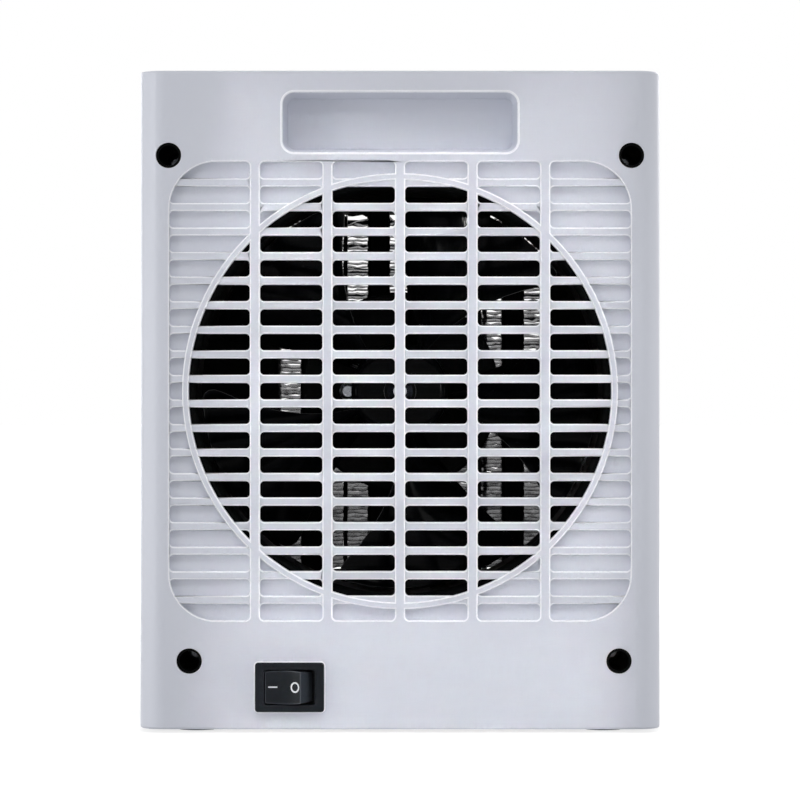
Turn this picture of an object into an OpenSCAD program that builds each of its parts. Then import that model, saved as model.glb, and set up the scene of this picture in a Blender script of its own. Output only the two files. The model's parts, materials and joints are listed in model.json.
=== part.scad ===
// Free-standing fan heater with a ceramic heating element, seen from its back.
// +X is to the right in that view, +Y runs with the air from the intake to the outlet, +Z is up.
// The origin is in the middle of the base, on the surface that the rubber feet stand on.

/* [Case] */
// Width of the case
body_w = 159; // [155:0.5:168]
// Height of the case without its feet
body_h = 200.6; // [198:0.2:212]
// Depth of the case from its back face to its front face
body_d = 120; // [118:0.5:132]
// Wall thickness of both housings
wall = 2.2; // [1.9:0.1:2.5]
// Radius of the four upright edges
edge_r = 8; // [6:0.5:10]
// Radius of the edges round the top and the bottom
rim_r = 0.8; // [0.5:0.1:1.2]
// Depth of the rear housing, from the back face to the joint between the housings
rear_d = 60; // [56:0.5:64]
// Height of the tongue that locates one housing in the other
tongue_h = 2.2; // [1.5:0.1:3]

/* [Intake grille] */
// Height of the middle of the fan and the grille above the underside of the case
fan_up = 103; // [101:0.5:106]
// Width of the sunken panel that the grille lies in
panel_w = 140.5; // [138:0.5:143]
// Height of the sunken panel
panel_h = 139.8; // [137:0.2:143]
// Radius of the panel's corners
panel_r = 14.5; // [10:0.5:20]
// Outer radius of the ring round the open part of the grille
ring_r = 66.4; // [65.5:0.1:67]
// Width of that ring
ring_w = 2; // [1.5:0.1:2.5]
// Distance between the upright bars
col_pitch = 22.1; // [21:0.1:23]
// Width of an upright bar
bar_w = 3.1; // [2.5:0.1:4]
// Distance between the rows of slots
row_pitch = 7.48; // [7.2:0.02:8]
// Height of a slot
slot_h = 5; // [4.4:0.1:5.2]
// Radius of a slot's corners
slot_r = 1.3; // [0.8:0.1:2]
// How far the level bars lie below the upright bars
bar_drop = 0.55; // [0.3:0.05:0.8]
// How far the floors of the blind pockets lie below the level bars
pocket_drop = 1.5; // [1:0.1:2]

/* [Finger grip] */
// Width of the recess for the fingers
grip_w = 71.7; // [60:0.5:84]
// Height of the recess
grip_h = 18.3; // [16:0.1:19]
// Depth of the recess
grip_d = 10; // [6:0.5:11]
// Radius of the recess's corners
grip_r = 3.6; // [2.5:0.1:6]
// How far each wall of the recess leans inwards over its depth
grip_draft = 1.4; // [0.6:0.1:2]
// Distance from the top of the case to the middle of the recess
grip_down = 15.7; // [15:0.1:16]

/* [Case screws] */
// Radius of the holes in the back face that lead to the case screws
well_r = 3.9; // [3.7:0.1:4.2]
// Radius of the wells inside, which take the heads of the case screws
well_bore = 3.1; // [3:0.1:3.2]
// Wall thickness of a well
well_wall = 1.5; // [1.2:0.1:1.8]
// Depth of a well from the back face to the seat of the screw head
well_d = 51.5; // [46:0.5:53]
// Distance of the two upper wells from the sides of the case
top_well_in = 9; // [8.2:0.1:9.2]
// Height of the two upper wells above the underside of the case
top_well_up = 174.8; // [174:0.1:177]
// Distance of the lower well beside the switch from its side of the case
low_well_left = 15.3; // [12:0.1:16]
// Distance of the other lower well from its side of the case
low_well_right = 12.8; // [11:0.1:15]
// Height of the two lower wells above the underside of the case
low_well_up = 20.8; // [20.5:0.1:23]
// Thread radius of a case screw
case_screw_r = 1.5; // [1.3:0.1:1.75]

/* [Power switch] */
// Distance of the switch from the middle, to the left
switch_x = 33.6; // [25:0.2:40]
// Height of the middle of the switch above the underside of the case
switch_up = 12.9; // [12.6:0.1:14]
// Width of the switch's rim
bezel_w = 21; // [20.6:0.1:22]
// Height of the switch's rim
bezel_h = 15; // [14.6:0.1:16]
// Thickness of the switch's rim
bezel_t = 2; // [1.5:0.1:2.5]
// Width of the opening that the rocker moves in
rocker_gap_w = 15.3; // [15.1:0.1:15.8]
// Height of the opening that the rocker moves in
rocker_gap_h = 10.7; // [10.3:0.1:11]
// Tilt of the rocker to each side of its middle position
rocker_tilt = 14; // [11:0.5:14.5]

/* [Fan] */
// Radius of the fan over its blade tips
fan_r = 60.5; // [58:0.5:61]
// Depth of the fan along its axis
fan_d = 22; // [20:0.5:23]
// Number of blades
blade_n = 5; // [3:7]
// Thickness of a blade
blade_t = 1.6; // [1.2:0.1:2]
// Radius of the fan's hub
hub_r = 15; // [13:0.5:17]
// Clear space between the blade tips and the duct
tip_gap = 1.5; // [1:0.1:2]
// Wall thickness of the duct
duct_t = 2; // [1.6:0.1:2.2]
// Radius of the round plate that carries the motor
plate_r = 31; // [29:0.5:33]
// Distance of the duct screws from the fan axis, both ways
duct_screw = 57; // [56:0.5:58]

/* [Motor] */
// Radius of the shaft
shaft_r = 2; // [1.6:0.1:2.4]
// Thickness of the stack of stator sheets
stack_t = 14; // [12:0.5:16]
// Width of the stator
stator_w = 40; // [39:0.5:42]
// Radius of the rotor
rotor_r = 10; // [9.5:0.1:10.3]
// Air gap between rotor and stator
air_gap = 0.4; // [0.3:0.05:0.5]
// Thickness of the winding
coil_t = 2.3; // [1.8:0.1:2.4]

/* [Heating element] */
// Number of ceramic heating tubes
tube_n = 4; // [3:4]
// Thickness of a heating tube
tube_t = 6.5; // [6:0.1:6.8]
// Width of a corrugated fin between its two strips
fin_w = 6.7; // [6.2:0.1:6.9]
// Thickness of the strips that carry a fin
strip_t = 0.3; // [0.2:0.05:0.35]
// Gap between neighbouring fin packs
pack_gap = 0.6; // [0.4:0.1:0.8]
// Height of one whole fold of a fin
fold_pitch = 2.5; // [2.2:0.1:2.8]
// Number of folds in a fin
fold_n = 46; // [40:46]
// Thickness of the fin sheet, measured upright
fin_t = 0.3; // [0.2:0.05:0.4]
// Depth of the fins along the air flow
fin_d = 15; // [12:0.5:16]
// Distance from the front face to the baffle that the element rests on
baffle_in = 22.5; // [20:0.5:23]
// Distance of the element from the middle of the case, away from the switch
element_x = 4; // [0:0.5:5]
// Clear height between the fins and the bars that hold the tubes
fin_room = 0.8; // [0.3:0.1:1.5]

/* [Outlet grille] */
// Width of the air outlet
outlet_w = 112; // [100:1:116]
// Height of the air outlet
outlet_h = 128; // [116:1:130]
// Distance between the outlet's slats
slat_pitch = 8; // [7:0.5:10]
// Thickness of a slat
slat_t = 1.6; // [1.2:0.1:2]
// Depth of a slat
slat_d = 9; // [7:0.5:10]

/* [Feet and cord entry] */
// Radius of a rubber foot
foot_r = 6.5; // [5:0.5:8]
// How far the feet stand out below the case
foot_out = 1.1; // [0.8:0.1:2]
// Distance of the feet from the sides of the case
foot_side = 17; // [15:0.5:23]
// Distance of the feet from the back and front faces
foot_in = 17; // [15:0.5:20]
// Bore radius of the bush that the supply cord comes in through
cord_r = 3.4; // [3:0.1:3.6]

/* [Hidden] */

case_colour = "#cdd0da";
black = "#17181a";
steel = "#b9bcc0";
copper = "#b5713c";
eps = 0.02;
seat = 0.1;
running = 0.04;

// Rocker profile, measured from its pivot
crest_up = 8.35;
rocker_room = 0.2;
rocker_sunk = 0.44;
crest_x = (rocker_gap_w / 2 - rocker_room - crest_up * sin(rocker_tilt)) / cos(rocker_tilt);
pivot_in = crest_up * cos(rocker_tilt) - crest_x * sin(rocker_tilt) + rocker_sunk;
rocker_foot_x = rocker_gap_w / 2 - rocker_room - 0.1;
dish = 1.1;
rocker_out = 2 * crest_x * sin(rocker_tilt) - rocker_sunk;

// Places along Y
back_y = -(body_d - bezel_t - rocker_out) / 2;
front_y = back_y + body_d;
mid_y = back_y + body_d / 2;
part_y = back_y + rear_d;
panel_in = back_y + wall + bar_drop + pocket_drop;
fan_y0 = panel_in + 3.3;
fan_mid = fan_y0 + fan_d / 2;
fan_y1 = fan_y0 + fan_d;
plate_t = 3;
plate_y0 = fan_y1 + 2.5;
plate_y1 = plate_y0 + plate_t;
post_h = 8;
bracket_t = 2;
stack_y0 = plate_y1 + post_h + bracket_t;
stack_y1 = stack_y0 + stack_t;
baffle_t = 2.5;
baffle_y0 = front_y - baffle_in;
baffle_y1 = baffle_y0 + baffle_t;
fin_y1 = baffle_y0 - 0.5;
fin_y0 = fin_y1 - fin_d;

// Heights
base_z = foot_out;
fan_z = base_z + fan_up;
grip_z = base_z + body_h - grip_down;
switch_z = base_z + switch_up;
top_well_x = body_w / 2 - top_well_in;
top_well_z = base_z + top_well_up;
low_well_z = base_z + low_well_up;
wells = [[-top_well_x, top_well_z], [top_well_x, top_well_z],
    [low_well_left - body_w / 2, low_well_z], [body_w / 2 - low_well_right, low_well_z]];
well_out = well_bore + well_wall;
well_floor = 2.5;
seat_y = back_y + well_d;
boss_y = seat_y + well_floor + seat;
case_thread = 16;

module rounded(w, h, r) {
    square([w - 2 * r, h], center = true);
    square([w, h - 2 * r], center = true);
    for (sx = [-1, 1], sz = [-1, 1])
        translate([sx * (w / 2 - r), sz * (h / 2 - r)]) circle(r, $fn = 48);
}

// Extrudes a drawing in X and Z along +Y
module along_y(y0, y1) translate([0, y1, 0]) rotate([90, 0, 0]) linear_extrude(y1 - y0) children();

// Turns local +Z to run along +Y, with the origin on the fan axis
module on_fan_axis() translate([0, 0, fan_z]) rotate([-90, 0, 0]) children();

module rod_y(x, z, r, y0, y1, fn = 48)
    translate([x, y0, z]) rotate([-90, 0, 0]) cylinder(h = y1 - y0, r = r, $fn = fn);

module box(x0, x1, y0, y1, z0, z1) translate([x0, y0, z0]) cube([x1 - x0, y1 - y0, z1 - z0]);

// Pan-head screw with a cross recess, its head seated at y = 0 and its thread along +Y
module screw(r, length, head_r, head_h) {
    rotate([-90, 0, 0]) difference() {
        rotate_extrude($fn = 36) polygon([[0, -head_h], [head_r * 0.6, -head_h],
            [head_r, -head_h * 0.45], [head_r, 0], [r, 0], [r, length - r], [r * 0.3, length], [0, length]]);
        for (a = [0, 90]) rotate(a)
            translate([-head_r * 0.55, -0.35, -head_h - 1]) cube([head_r * 1.1, 0.7, 1 + head_h * 0.6]);
    }
}

// ---- case ----

module corner_section() intersection() {
    translate([0, base_z + body_h / 2]) rounded(2 * edge_r, body_h, rim_r);
    translate([0, base_z]) square([edge_r, body_h]);
}

// Outside of the closed case: four round corners and the two slabs between them
module case_block() {
    cx = body_w / 2 - edge_r;
    cy = body_d / 2 - edge_r;
    for (sx = [-1, 1], sy = [-1, 1])
        translate([sx * cx, mid_y + sy * cy, 0]) rotate_extrude($fn = 64) corner_section();
    translate([0, mid_y + cy, base_z + body_h / 2]) rotate([90, 0, 0])
        linear_extrude(2 * cy) rounded(body_w, body_h, rim_r);
    translate([-cx, mid_y, base_z + body_h / 2]) rotate([90, 0, 90])
        linear_extrude(2 * cx) rounded(body_d, body_h, rim_r);
}

module cavity(y0, y1) intersection() {
    translate([0, mid_y, base_z + wall])
        linear_extrude(body_h - 2 * wall) rounded(body_w - 2 * wall, body_d - 2 * wall, edge_r - wall);
    box(-body_w, body_w, y0, y1, 0, 2 * body_h);
}

module half_shell(y0, y1) {
    difference() {
        intersection() {
            case_block();
            box(-body_w, body_w, y0, y1, -1, 2 * body_h);
        }
        cavity(y0 - 1, y1 + 1);
    }
}

module foot_recess(y) for (sx = [-1, 1])
    translate([sx * foot_x, y, base_z - 1]) cylinder(h = 1 + foot_sunk, r = foot_r + seat, $fn = 48);

foot_sunk = 1.1;
foot_x = body_w / 2 - foot_side;
rear_foot_y = back_y + foot_in;
front_foot_y = front_y - foot_in;

// Slots of the grille, row by row, the outer columns reaching the edge of the panel
row_n = floor((panel_h / 2 - slot_h / 2) / row_pitch);
strip_w = col_pitch - bar_w;
outer_x0 = 2 * col_pitch + bar_w / 2;
outer_strip_w = panel_w / 2 - outer_x0;
inset = 0.05;
columns = concat([for (c = [-1.5:1:1.5]) [c * col_pitch, strip_w]],
    [for (s = [-1, 1]) [s * (outer_x0 + outer_strip_w / 2), outer_strip_w]]);

module slots() {
    for (row = [-row_n:row_n], c = columns)
        translate([c[0], row * row_pitch]) rounded(c[1], slot_h, slot_r);
}

// From the middle of the lowest row to the middle of the highest, so that their outer edges stay at full height
module column_strips() {
    for (c = columns) translate([c[0], 0]) square([c[1] - 2 * inset, 2 * row_n * row_pitch], center = true);
}

module panel_outline(grow = 0) rounded(panel_w + 2 * grow, panel_h + 2 * grow, panel_r + grow);

module disc(r) circle(r, $fn = 160);

module grille_cuts() translate([0, 0, fan_z]) {
    // level bars, a step below the upright bars and the ring, their ends just short of the slots' ends
    along_y(back_y - 1, back_y + bar_drop) difference() {
        intersection() { column_strips(); panel_outline(-inset); }
        difference() { disc(ring_r + inset); disc(ring_r - ring_w - inset); }
    }
    // blind pockets outside the ring
    along_y(back_y - 1, back_y + bar_drop + pocket_drop) difference() {
        intersection() { slots(); panel_outline(); }
        disc(ring_r);
    }
    // open slots inside the ring
    along_y(back_y - 1, panel_in + 1) intersection() { slots(); disc(ring_r - ring_w); }
}

grip_wall = 2;

// Recess with leaning walls, drawn a little past the back face so that its mouth is cut clean
module grip_pocket() hull() {
    past = 1;
    lean = grip_draft * past / grip_d;
    translate([0, 0, grip_z]) along_y(back_y - past, back_y - past + 0.01)
        rounded(grip_w + 2 * lean, grip_h + 2 * lean, grip_r + lean);
    translate([0, 0, grip_z]) along_y(back_y + grip_d - 0.01, back_y + grip_d)
        rounded(grip_w - 2 * grip_draft, grip_h - 2 * grip_draft, max(grip_r - grip_draft, 0.8));
}

duct_boss_r = 4;
duct_screw_r = 1.5;
duct_thread = 12;
duct_screws_at = [for (sx = [-1, 1], sz = [-1, 1]) [sx * duct_screw, fan_z + sz * duct_screw]];
flange_t = 2.5;
flange_y0 = plate_y0;

module rear_housing() color(case_colour) difference() {
    union() {
        half_shell(back_y, part_y);
        translate([0, 0, fan_z]) along_y(back_y + 1, panel_in) panel_outline(1.5);
        translate([0, 0, grip_z]) along_y(back_y + 1, back_y + grip_d + grip_wall)
            rounded(grip_w + grip_wall, grip_h + grip_wall, grip_r);
        for (p = duct_screws_at) rod_y(p[0], p[1], duct_boss_r, back_y + wall - 0.4, flange_y0);
    }
    grille_cuts();
    grip_pocket();
    for (w = wells) rod_y(w[0], w[1], well_r, back_y - 1, back_y + wall + 1);
    for (p = duct_screws_at) rod_y(p[0], p[1], duct_screw_r + eps, flange_y0 - duct_thread, flange_y0 + 1);
    box(-switch_x - switch_body_w / 2 - seat, -switch_x + switch_body_w / 2 + seat,
        back_y - 1, back_y + wall + 1,
        switch_z - switch_body_h / 2 - seat, switch_z + switch_body_h / 2 + seat);
    foot_recess(rear_foot_y);
    translate([0, 0, base_z + body_h / 2]) along_y(part_y - tongue_h - seat, part_y + 1)
        square([body_w - wall, body_h - wall], center = true);
}

// Cord pocket in the lower left edge, hidden from behind
pocket_w = 24;
pocket_y0 = part_y + 14;
pocket_span = 14;
pocket_h = 15;
cord_y = pocket_y0 + pocket_span / 2;
cord_z = base_z + 8.2;
pocket_x1 = -body_w / 2 + pocket_w;

fin_h = fold_n * fold_pitch;
baffle_w = body_w - 10;
baffle_h = fin_h + 2 * fin_room + 20;
baffle_r = 12;
baffle_screw_x = body_w / 2 - 10;
baffle_screw_z = 56;
baffle_screw_r = 1.5;
baffle_screws_at = [for (sx = [-1, 1], sz = [-1, 1])
    [sx * baffle_screw_x, fan_z + sz * baffle_screw_z]];

stake_x = outlet_w / 2 + 4;
stake_z = outlet_h / 2 - 10;
flange_w = 8.5;
outlet_flange_t = 2;
outlet_flange_y0 = front_y - wall - outlet_flange_t;

module front_housing() color(case_colour) difference() {
    union() {
        half_shell(part_y, front_y);
        translate([0, 0, base_z + body_h / 2]) along_y(part_y - tongue_h, part_y + 1) difference() {
            square([body_w - wall - 2 * seat, body_h - wall - 2 * seat], center = true);
            square([body_w - 2 * wall, body_h - 2 * wall], center = true);
        }
        for (w = wells) rod_y(w[0], w[1], 4.5, boss_y, front_y - wall + 0.5);
        for (p = baffle_screws_at) rod_y(p[0], p[1], 4, baffle_y1, front_y - wall + 0.5);
        // heat-staked pins that hold the outlet grille
        for (sx = [-1, 1], sz = [-1, 1]) {
            rod_y(sx * stake_x, fan_z + sz * stake_z, 1.5, outlet_flange_y0 - 0.8, front_y - 1);
            rod_y(sx * stake_x, fan_z + sz * stake_z, 2.6, outlet_flange_y0 - 0.9, outlet_flange_y0);
        }
        box(-body_w / 2 + 1, pocket_x1 + wall, pocket_y0 - wall, pocket_y0 + pocket_span + wall,
            base_z + 0.5, base_z + pocket_h + wall);
    }
    for (w = wells) rod_y(w[0], w[1], case_screw_r + eps, boss_y - 1, boss_y + case_thread);
    for (p = baffle_screws_at) rod_y(p[0], p[1], baffle_screw_r + eps, baffle_y1 - 1, baffle_y1 + 10);
    translate([0, 0, fan_z]) along_y(front_y - wall - 1, front_y + 1) rounded(outlet_w, outlet_h, 8);
    box(-body_w / 2 - 1, pocket_x1, pocket_y0, pocket_y0 + pocket_span, base_z - 1, base_z + pocket_h);
    translate([pocket_x1 - 1, cord_y, cord_z]) rotate([0, 90, 0])
        cylinder(h = wall + 2, r = bush_neck_r + seat, $fn = 48);
    foot_recess(front_foot_y);
}

module outlet_grille() color("#5a5c62") translate([0, 0, fan_z]) {
    w = outlet_w - 2 * seat;
    h = outlet_h - 2 * seat;
    difference() {
        union() {
            along_y(outlet_flange_y0, front_y - wall) difference() {
                rounded(outlet_w + 2 * flange_w, outlet_h + 8, 8);
                rounded(w - 4, h - 4, 6);
            }
            along_y(outlet_flange_y0, front_y - 0.6) difference() {
                rounded(w, h, 8 - seat);
                rounded(w - 4, h - 4, 6);
            }
            slat_count = floor((h / 2 - 4) / slat_pitch);
            for (i = [-slat_count:slat_count])
                box(-w / 2 + 1, w / 2 - 1, front_y - 1 - slat_d, front_y - 1,
                    i * slat_pitch - slat_t / 2, i * slat_pitch + slat_t / 2);
            for (i = [-1:1])
                box(i * w / 4 - slat_t / 2, i * w / 4 + slat_t / 2, front_y - 1 - slat_d, front_y - 2,
                    -h / 2 + 1, h / 2 - 1);
        }
        for (sx = [-1, 1], sz = [-1, 1])
            rod_y(sx * stake_x, sz * stake_z, 1.5 + eps, outlet_flange_y0 - 1, front_y);
    }
}

module rubber_feet() color("#2b2c2e") for (sx = [-1, 1], y = [rear_foot_y, front_foot_y])
    translate([sx * foot_x, y, 0]) rotate_extrude($fn = 48)
        polygon([[0, 0], [foot_r - 0.6, 0], [foot_r, 0.6], [foot_r, base_z + foot_sunk],
            [0, base_z + foot_sunk]]);

module case_screws() color(steel) for (w = wells)
    translate([w[0], seat_y, w[1]]) screw(case_screw_r, 17, 2.8, 2.4);

// ---- fan ----

duct_in = fan_r + tip_gap;
mouth_y = panel_in + seat;
duct_y1 = plate_y0 + 4.5;
frame_w = 2 * (duct_screw + 11);
frame_arm_r = 4;
spigot_in = 1;
spigot_y1 = back_y + edge_r - 3;
arm_angles = [for (k = [0:blade_n - 1]) 65 + k * 360 / blade_n];
motor_hole_x = 16.2;
motor_screw_r = 1.5;

module fan_duct() color(black) difference() {
    union() {
        // round wall with a rolled mouth towards the intake
        on_fan_axis() rotate_extrude($fn = 120) polygon(concat(
            [for (a = [0:15:90]) [duct_in + 2.4 * (1 - cos(a)), mouth_y + 2.4 * (1 - sin(a))]],
            [[duct_in + 2.4, mouth_y + 1.2], [duct_in + duct_t, mouth_y + 3],
            [duct_in + duct_t, duct_y1], [duct_in, duct_y1]]));
        translate([0, 0, fan_z]) along_y(flange_y0, flange_y0 + flange_t) difference() {
            union() {
                rounded(frame_w, frame_w, 12);
                for (w = wells) hull() {
                    translate([sign(w[0]) * duct_screw, sign(w[1] - fan_z) * duct_screw])
                        circle(frame_arm_r, $fn = 32);
                    translate([w[0], w[1] - fan_z]) circle(frame_arm_r, $fn = 32);
                }
            }
            disc(duct_in + duct_t / 2);
        }
        // wells of the case screws, each with a spigot in a hole of the back wall
        for (w = wells) {
            rod_y(w[0], w[1], well_r - seat, back_y + spigot_in, spigot_y1 + 1);
            rod_y(w[0], w[1], well_out, spigot_y1, seat_y + well_floor);
        }
        // five arms that carry the motor plate, each behind a blade
        for (a = arm_angles) translate([0, 0, fan_z]) rotate([0, -a, 0])
            box(plate_r - 1.5, duct_in + duct_t / 2, plate_y0 + 0.3, duct_y1 - 0.4, -2.5, 2.5);
        on_fan_axis() rotate_extrude($fn = 96) polygon([[7, plate_y0 + 0.8], [7.8, plate_y0],
            [plate_r - 0.8, plate_y0], [plate_r, plate_y0 + 0.8], [plate_r, duct_y1 + 1],
            [plate_r - 2, duct_y1 + 1], [plate_r - 2, plate_y1], [7, plate_y1]]);
        for (s = [-1, 1]) rod_y(s * motor_hole_x, fan_z, 3.4, plate_y0 + 1, plate_y1 + post_h);
    }
    for (s = [-1, 1]) rod_y(s * motor_hole_x, fan_z, motor_screw_r + 0.1, plate_y0 - 1, plate_y1 + post_h + 1);
    for (p = duct_screws_at) rod_y(p[0], p[1], duct_screw_r + 0.2, flange_y0 - 1, flange_y0 + flange_t + 1);
    for (w = wells) {
        rod_y(w[0], w[1], well_bore, back_y, seat_y);
        rod_y(w[0], w[1], case_screw_r + 0.3, seat_y - 1, seat_y + well_floor + 1);
    }
}

module duct_screws() color(steel) for (p = duct_screws_at)
    translate([p[0], flange_y0 + flange_t, p[1]]) rotate([0, 0, 180]) screw(duct_screw_r, 12, 3, 2.2);

// Blade outline in the view along the axis: the angles of its two edges at a radius
lead_hub = 57;
lead_tip = 33;
trail_hub = 82;
trail_tip = 93;
hub_rise = 15;
tip_rise = 20;
camber = 0.12;
tip_round = 6;
span_steps = 7;
tip_steps = 4;
chord_steps = 8;
root_r = hub_r - 1;

function mix(a, b, t) = a + (b - a) * t;
function span(r) = (r - hub_r) / (fan_r - hub_r);
function tip_cut(r) = r <= fan_r - tip_round ? 0
    : (tip_round - sqrt(max(0, pow(tip_round, 2) - pow(r - fan_r + tip_round, 2)))) / r * 180 / PI;
function lead(r) = mix(lead_hub, lead_tip, span(r)) + tip_cut(r);
function trail(r) = mix(trail_hub, trail_tip, span(r)) - tip_cut(r);
function rise(r) = mix(hub_rise, tip_rise, span(r));
function slope(r) = rise(r) / (r * (mix(trail_hub, trail_tip, span(r)) - mix(lead_hub, lead_tip, span(r))) * PI / 180);
function thick(r, u) = blade_t * sqrt(1 + pow(slope(r), 2)) * (0.4 + 0.6 * sin(180 * u));
function blade_y(r, u) = fan_mid + rise(r) * (u - 0.5 - camber * 4 * u * (1 - u));
function blade_point(r, u, side) =
    [r * cos(mix(lead(r), trail(r), u)), blade_y(r, u) + side * thick(r, u) / 2,
        r * sin(mix(lead(r), trail(r), u))];

blade_radii = concat(
    [for (i = [0:span_steps]) mix(root_r, fan_r - tip_round, i / span_steps)],
    [for (i = [1:tip_steps]) fan_r - tip_round * (1 - sin(90 * i / tip_steps))]);
ring_n = len(blade_radii);
row_len = chord_steps + 1;

function grid(i, j, side) = (side > 0 ? ring_n * row_len : 0) + i * row_len + j;

module blade() {
    points = [for (side = [-1, 1], r = blade_radii, j = [0:chord_steps])
        blade_point(r, j / chord_steps, side)];
    back = [for (i = [0:ring_n - 2], j = [0:chord_steps - 1], t = [0, 1]) t == 0
        ? [grid(i, j, -1), grid(i + 1, j + 1, -1), grid(i + 1, j, -1)]
        : [grid(i, j, -1), grid(i, j + 1, -1), grid(i + 1, j + 1, -1)]];
    front = [for (i = [0:ring_n - 2], j = [0:chord_steps - 1], t = [0, 1]) t == 0
        ? [grid(i, j, 1), grid(i + 1, j, 1), grid(i + 1, j + 1, 1)]
        : [grid(i, j, 1), grid(i + 1, j + 1, 1), grid(i, j + 1, 1)]];
    edges = [for (i = [0:ring_n - 2], e = [0, chord_steps], t = [0, 1])
        let (q = [grid(i, e, -1), grid(i, e, 1), grid(i + 1, e, 1), grid(i + 1, e, -1)],
            p = e == 0 ? [q[3], q[2], q[1], q[0]] : q)
        t == 0 ? [p[0], p[1], p[2]] : [p[0], p[2], p[3]]];
    ends = [for (j = [0:chord_steps - 1], e = [0, ring_n - 1], t = [0, 1])
        let (q = [grid(e, j, -1), grid(e, j + 1, -1), grid(e, j + 1, 1), grid(e, j, 1)],
            p = e == 0 ? [q[3], q[2], q[1], q[0]] : q)
        t == 0 ? [p[0], p[1], p[2]] : [p[0], p[2], p[3]]];
    polyhedron(points, concat(back, front, edges, ends), convexity = 6);
}

hub_y0 = fan_mid - 9;
hub_y1 = fan_mid + 9;
boss_r = 5;
boss_y0 = hub_y0 - 1.2;

module fan_impeller() color(black) {
    on_fan_axis() rotate_extrude($fn = 72) polygon(concat(
        [[boss_r, boss_y0], [boss_r, hub_y0]],
        [for (a = [90:-22.5:0]) [hub_r - 3 + 3 * cos(a), hub_y0 + 3 - 3 * sin(a)]],
        [[hub_r, hub_y1], [hub_r - 2, hub_y1], [hub_r - 2, hub_y0 + 3], [boss_r, hub_y0 + 3],
        [boss_r, hub_y1 - 1], [shaft_r + eps, hub_y1 - 1], [shaft_r + eps, boss_y0]]));
    for (k = [0:blade_n - 1]) translate([0, 0, fan_z]) rotate([0, -k * 360 / blade_n, 0]) blade();
}

clip_t = 0.8;
shaft_y0 = boss_y0 - clip_t - 1;

module impeller_clip() color(steel) on_fan_axis() rotate_extrude($fn = 48)
    polygon([[shaft_r + eps, boss_y0 - clip_t], [3.9, boss_y0 - clip_t * 0.6], [3.9, boss_y0],
        [shaft_r + eps, boss_y0]]);

// ---- motor ----

stator_top = rotor_r + air_gap + 4.2;
bore_r = rotor_r + air_gap;
bridge = 3.2;
bobbin_t = 0.8;
window_h = coil_t + bobbin_t + 0.5;
window_top = -bore_r - bridge;
window_bottom = window_top - window_h;
leg_t = 7;
stator_bottom = window_bottom - leg_t;
window_w = stator_w - 14;
shade_r = 0.7;
shade_at = bore_r + 1.7;
shade_angles = [[48, 82], [228, 262]];

module stator_outline() difference() {
    translate([0, (stator_top + stator_bottom) / 2])
        rounded(stator_w, stator_top - stator_bottom, 3);
    circle(bore_r, $fn = 96);
    translate([0, (window_top + window_bottom) / 2]) square([window_w, window_h], center = true);
    for (s = [-1, 1]) translate([s * motor_hole_x, 0]) circle(motor_screw_r + 0.1, $fn = 32);
    for (pair = shade_angles, a = pair)
        translate([shade_at * cos(a), shade_at * sin(a)]) circle(shade_r + 0.05, $fn = 24);
}

module motor_stator() color("#6d7076") translate([0, 0, fan_z]) along_y(stack_y0, stack_y1) stator_outline();

// Copper loops through the stack, which give the motor its direction of turning
module shading_rings() color(copper) for (pair = shade_angles) translate([0, 0, fan_z]) {
    for (a = pair) rod_y(shade_at * cos(a), shade_at * sin(a), shade_r,
        stack_y0 - 1, stack_y1 + 1, 24);
    for (y = [stack_y0 - 1.2, stack_y1]) rotate([0, -(pair[0] + pair[1]) / 2, 0])
        box(shade_at * cos((pair[1] - pair[0]) / 2) - shade_r, shade_at * cos((pair[1] - pair[0]) / 2) + shade_r,
            y, y + 1.2,
            -shade_at * sin((pair[1] - pair[0]) / 2) - shade_r, shade_at * sin((pair[1] - pair[0]) / 2) + shade_r);
}

coil_w = window_w - 1;
leg_mid = (window_bottom + stator_bottom) / 2;

// A ring round the stator's lower leg, grow measured outwards from the leg
module leg_ring(x0, x1, inner, outer) {
    difference() {
        box(x0, x1, stack_y0 - outer, stack_y1 + outer,
            fan_z + stator_bottom - outer, fan_z + window_bottom + outer);
        box(x0 - 1, x1 + 1, stack_y0 - inner, stack_y1 + inner,
            fan_z + stator_bottom - inner, fan_z + window_bottom + inner);
    }
}

module motor_bobbin() color("#e8e4d8") {
    leg_ring(-coil_w / 2, coil_w / 2, eps, bobbin_t);
    for (s = [-1, 1]) leg_ring(s * (coil_w / 2 - 0.5) - 0.5, s * (coil_w / 2 - 0.5) + 0.5,
        bobbin_t - 0.1, bobbin_t + coil_t + 0.3);
}

module motor_coil() color(copper) leg_ring(-coil_w / 2 + 1.02, coil_w / 2 - 1.02, bobbin_t + eps, bobbin_t + coil_t);

module motor_rotor() color("#8d9096") on_fan_axis() difference() {
    union() {
        translate([0, 0, stack_y0]) cylinder(h = stack_t, r = rotor_r, $fn = 96);
        translate([0, 0, stack_y0 - 1]) cylinder(h = stack_t + 2, r = rotor_r - 1, $fn = 72);
    }
    translate([0, 0, stack_y0 - 2]) cylinder(h = stack_t + 4, r = shaft_r + eps, $fn = 48);
}

cup_l = 6;
cup_gap = 2.2;
rear_cup_y0 = stack_y0 - cup_gap - cup_l;
front_cup_y0 = stack_y1 + cup_gap;
shaft_y1 = front_cup_y0 + cup_l + 2;
bush_r = 4.2;

module motor_shaft() color(steel) on_fan_axis() translate([0, 0, shaft_y0])
    cylinder(h = shaft_y1 - shaft_y0, r = shaft_r, $fn = 48);

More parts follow.
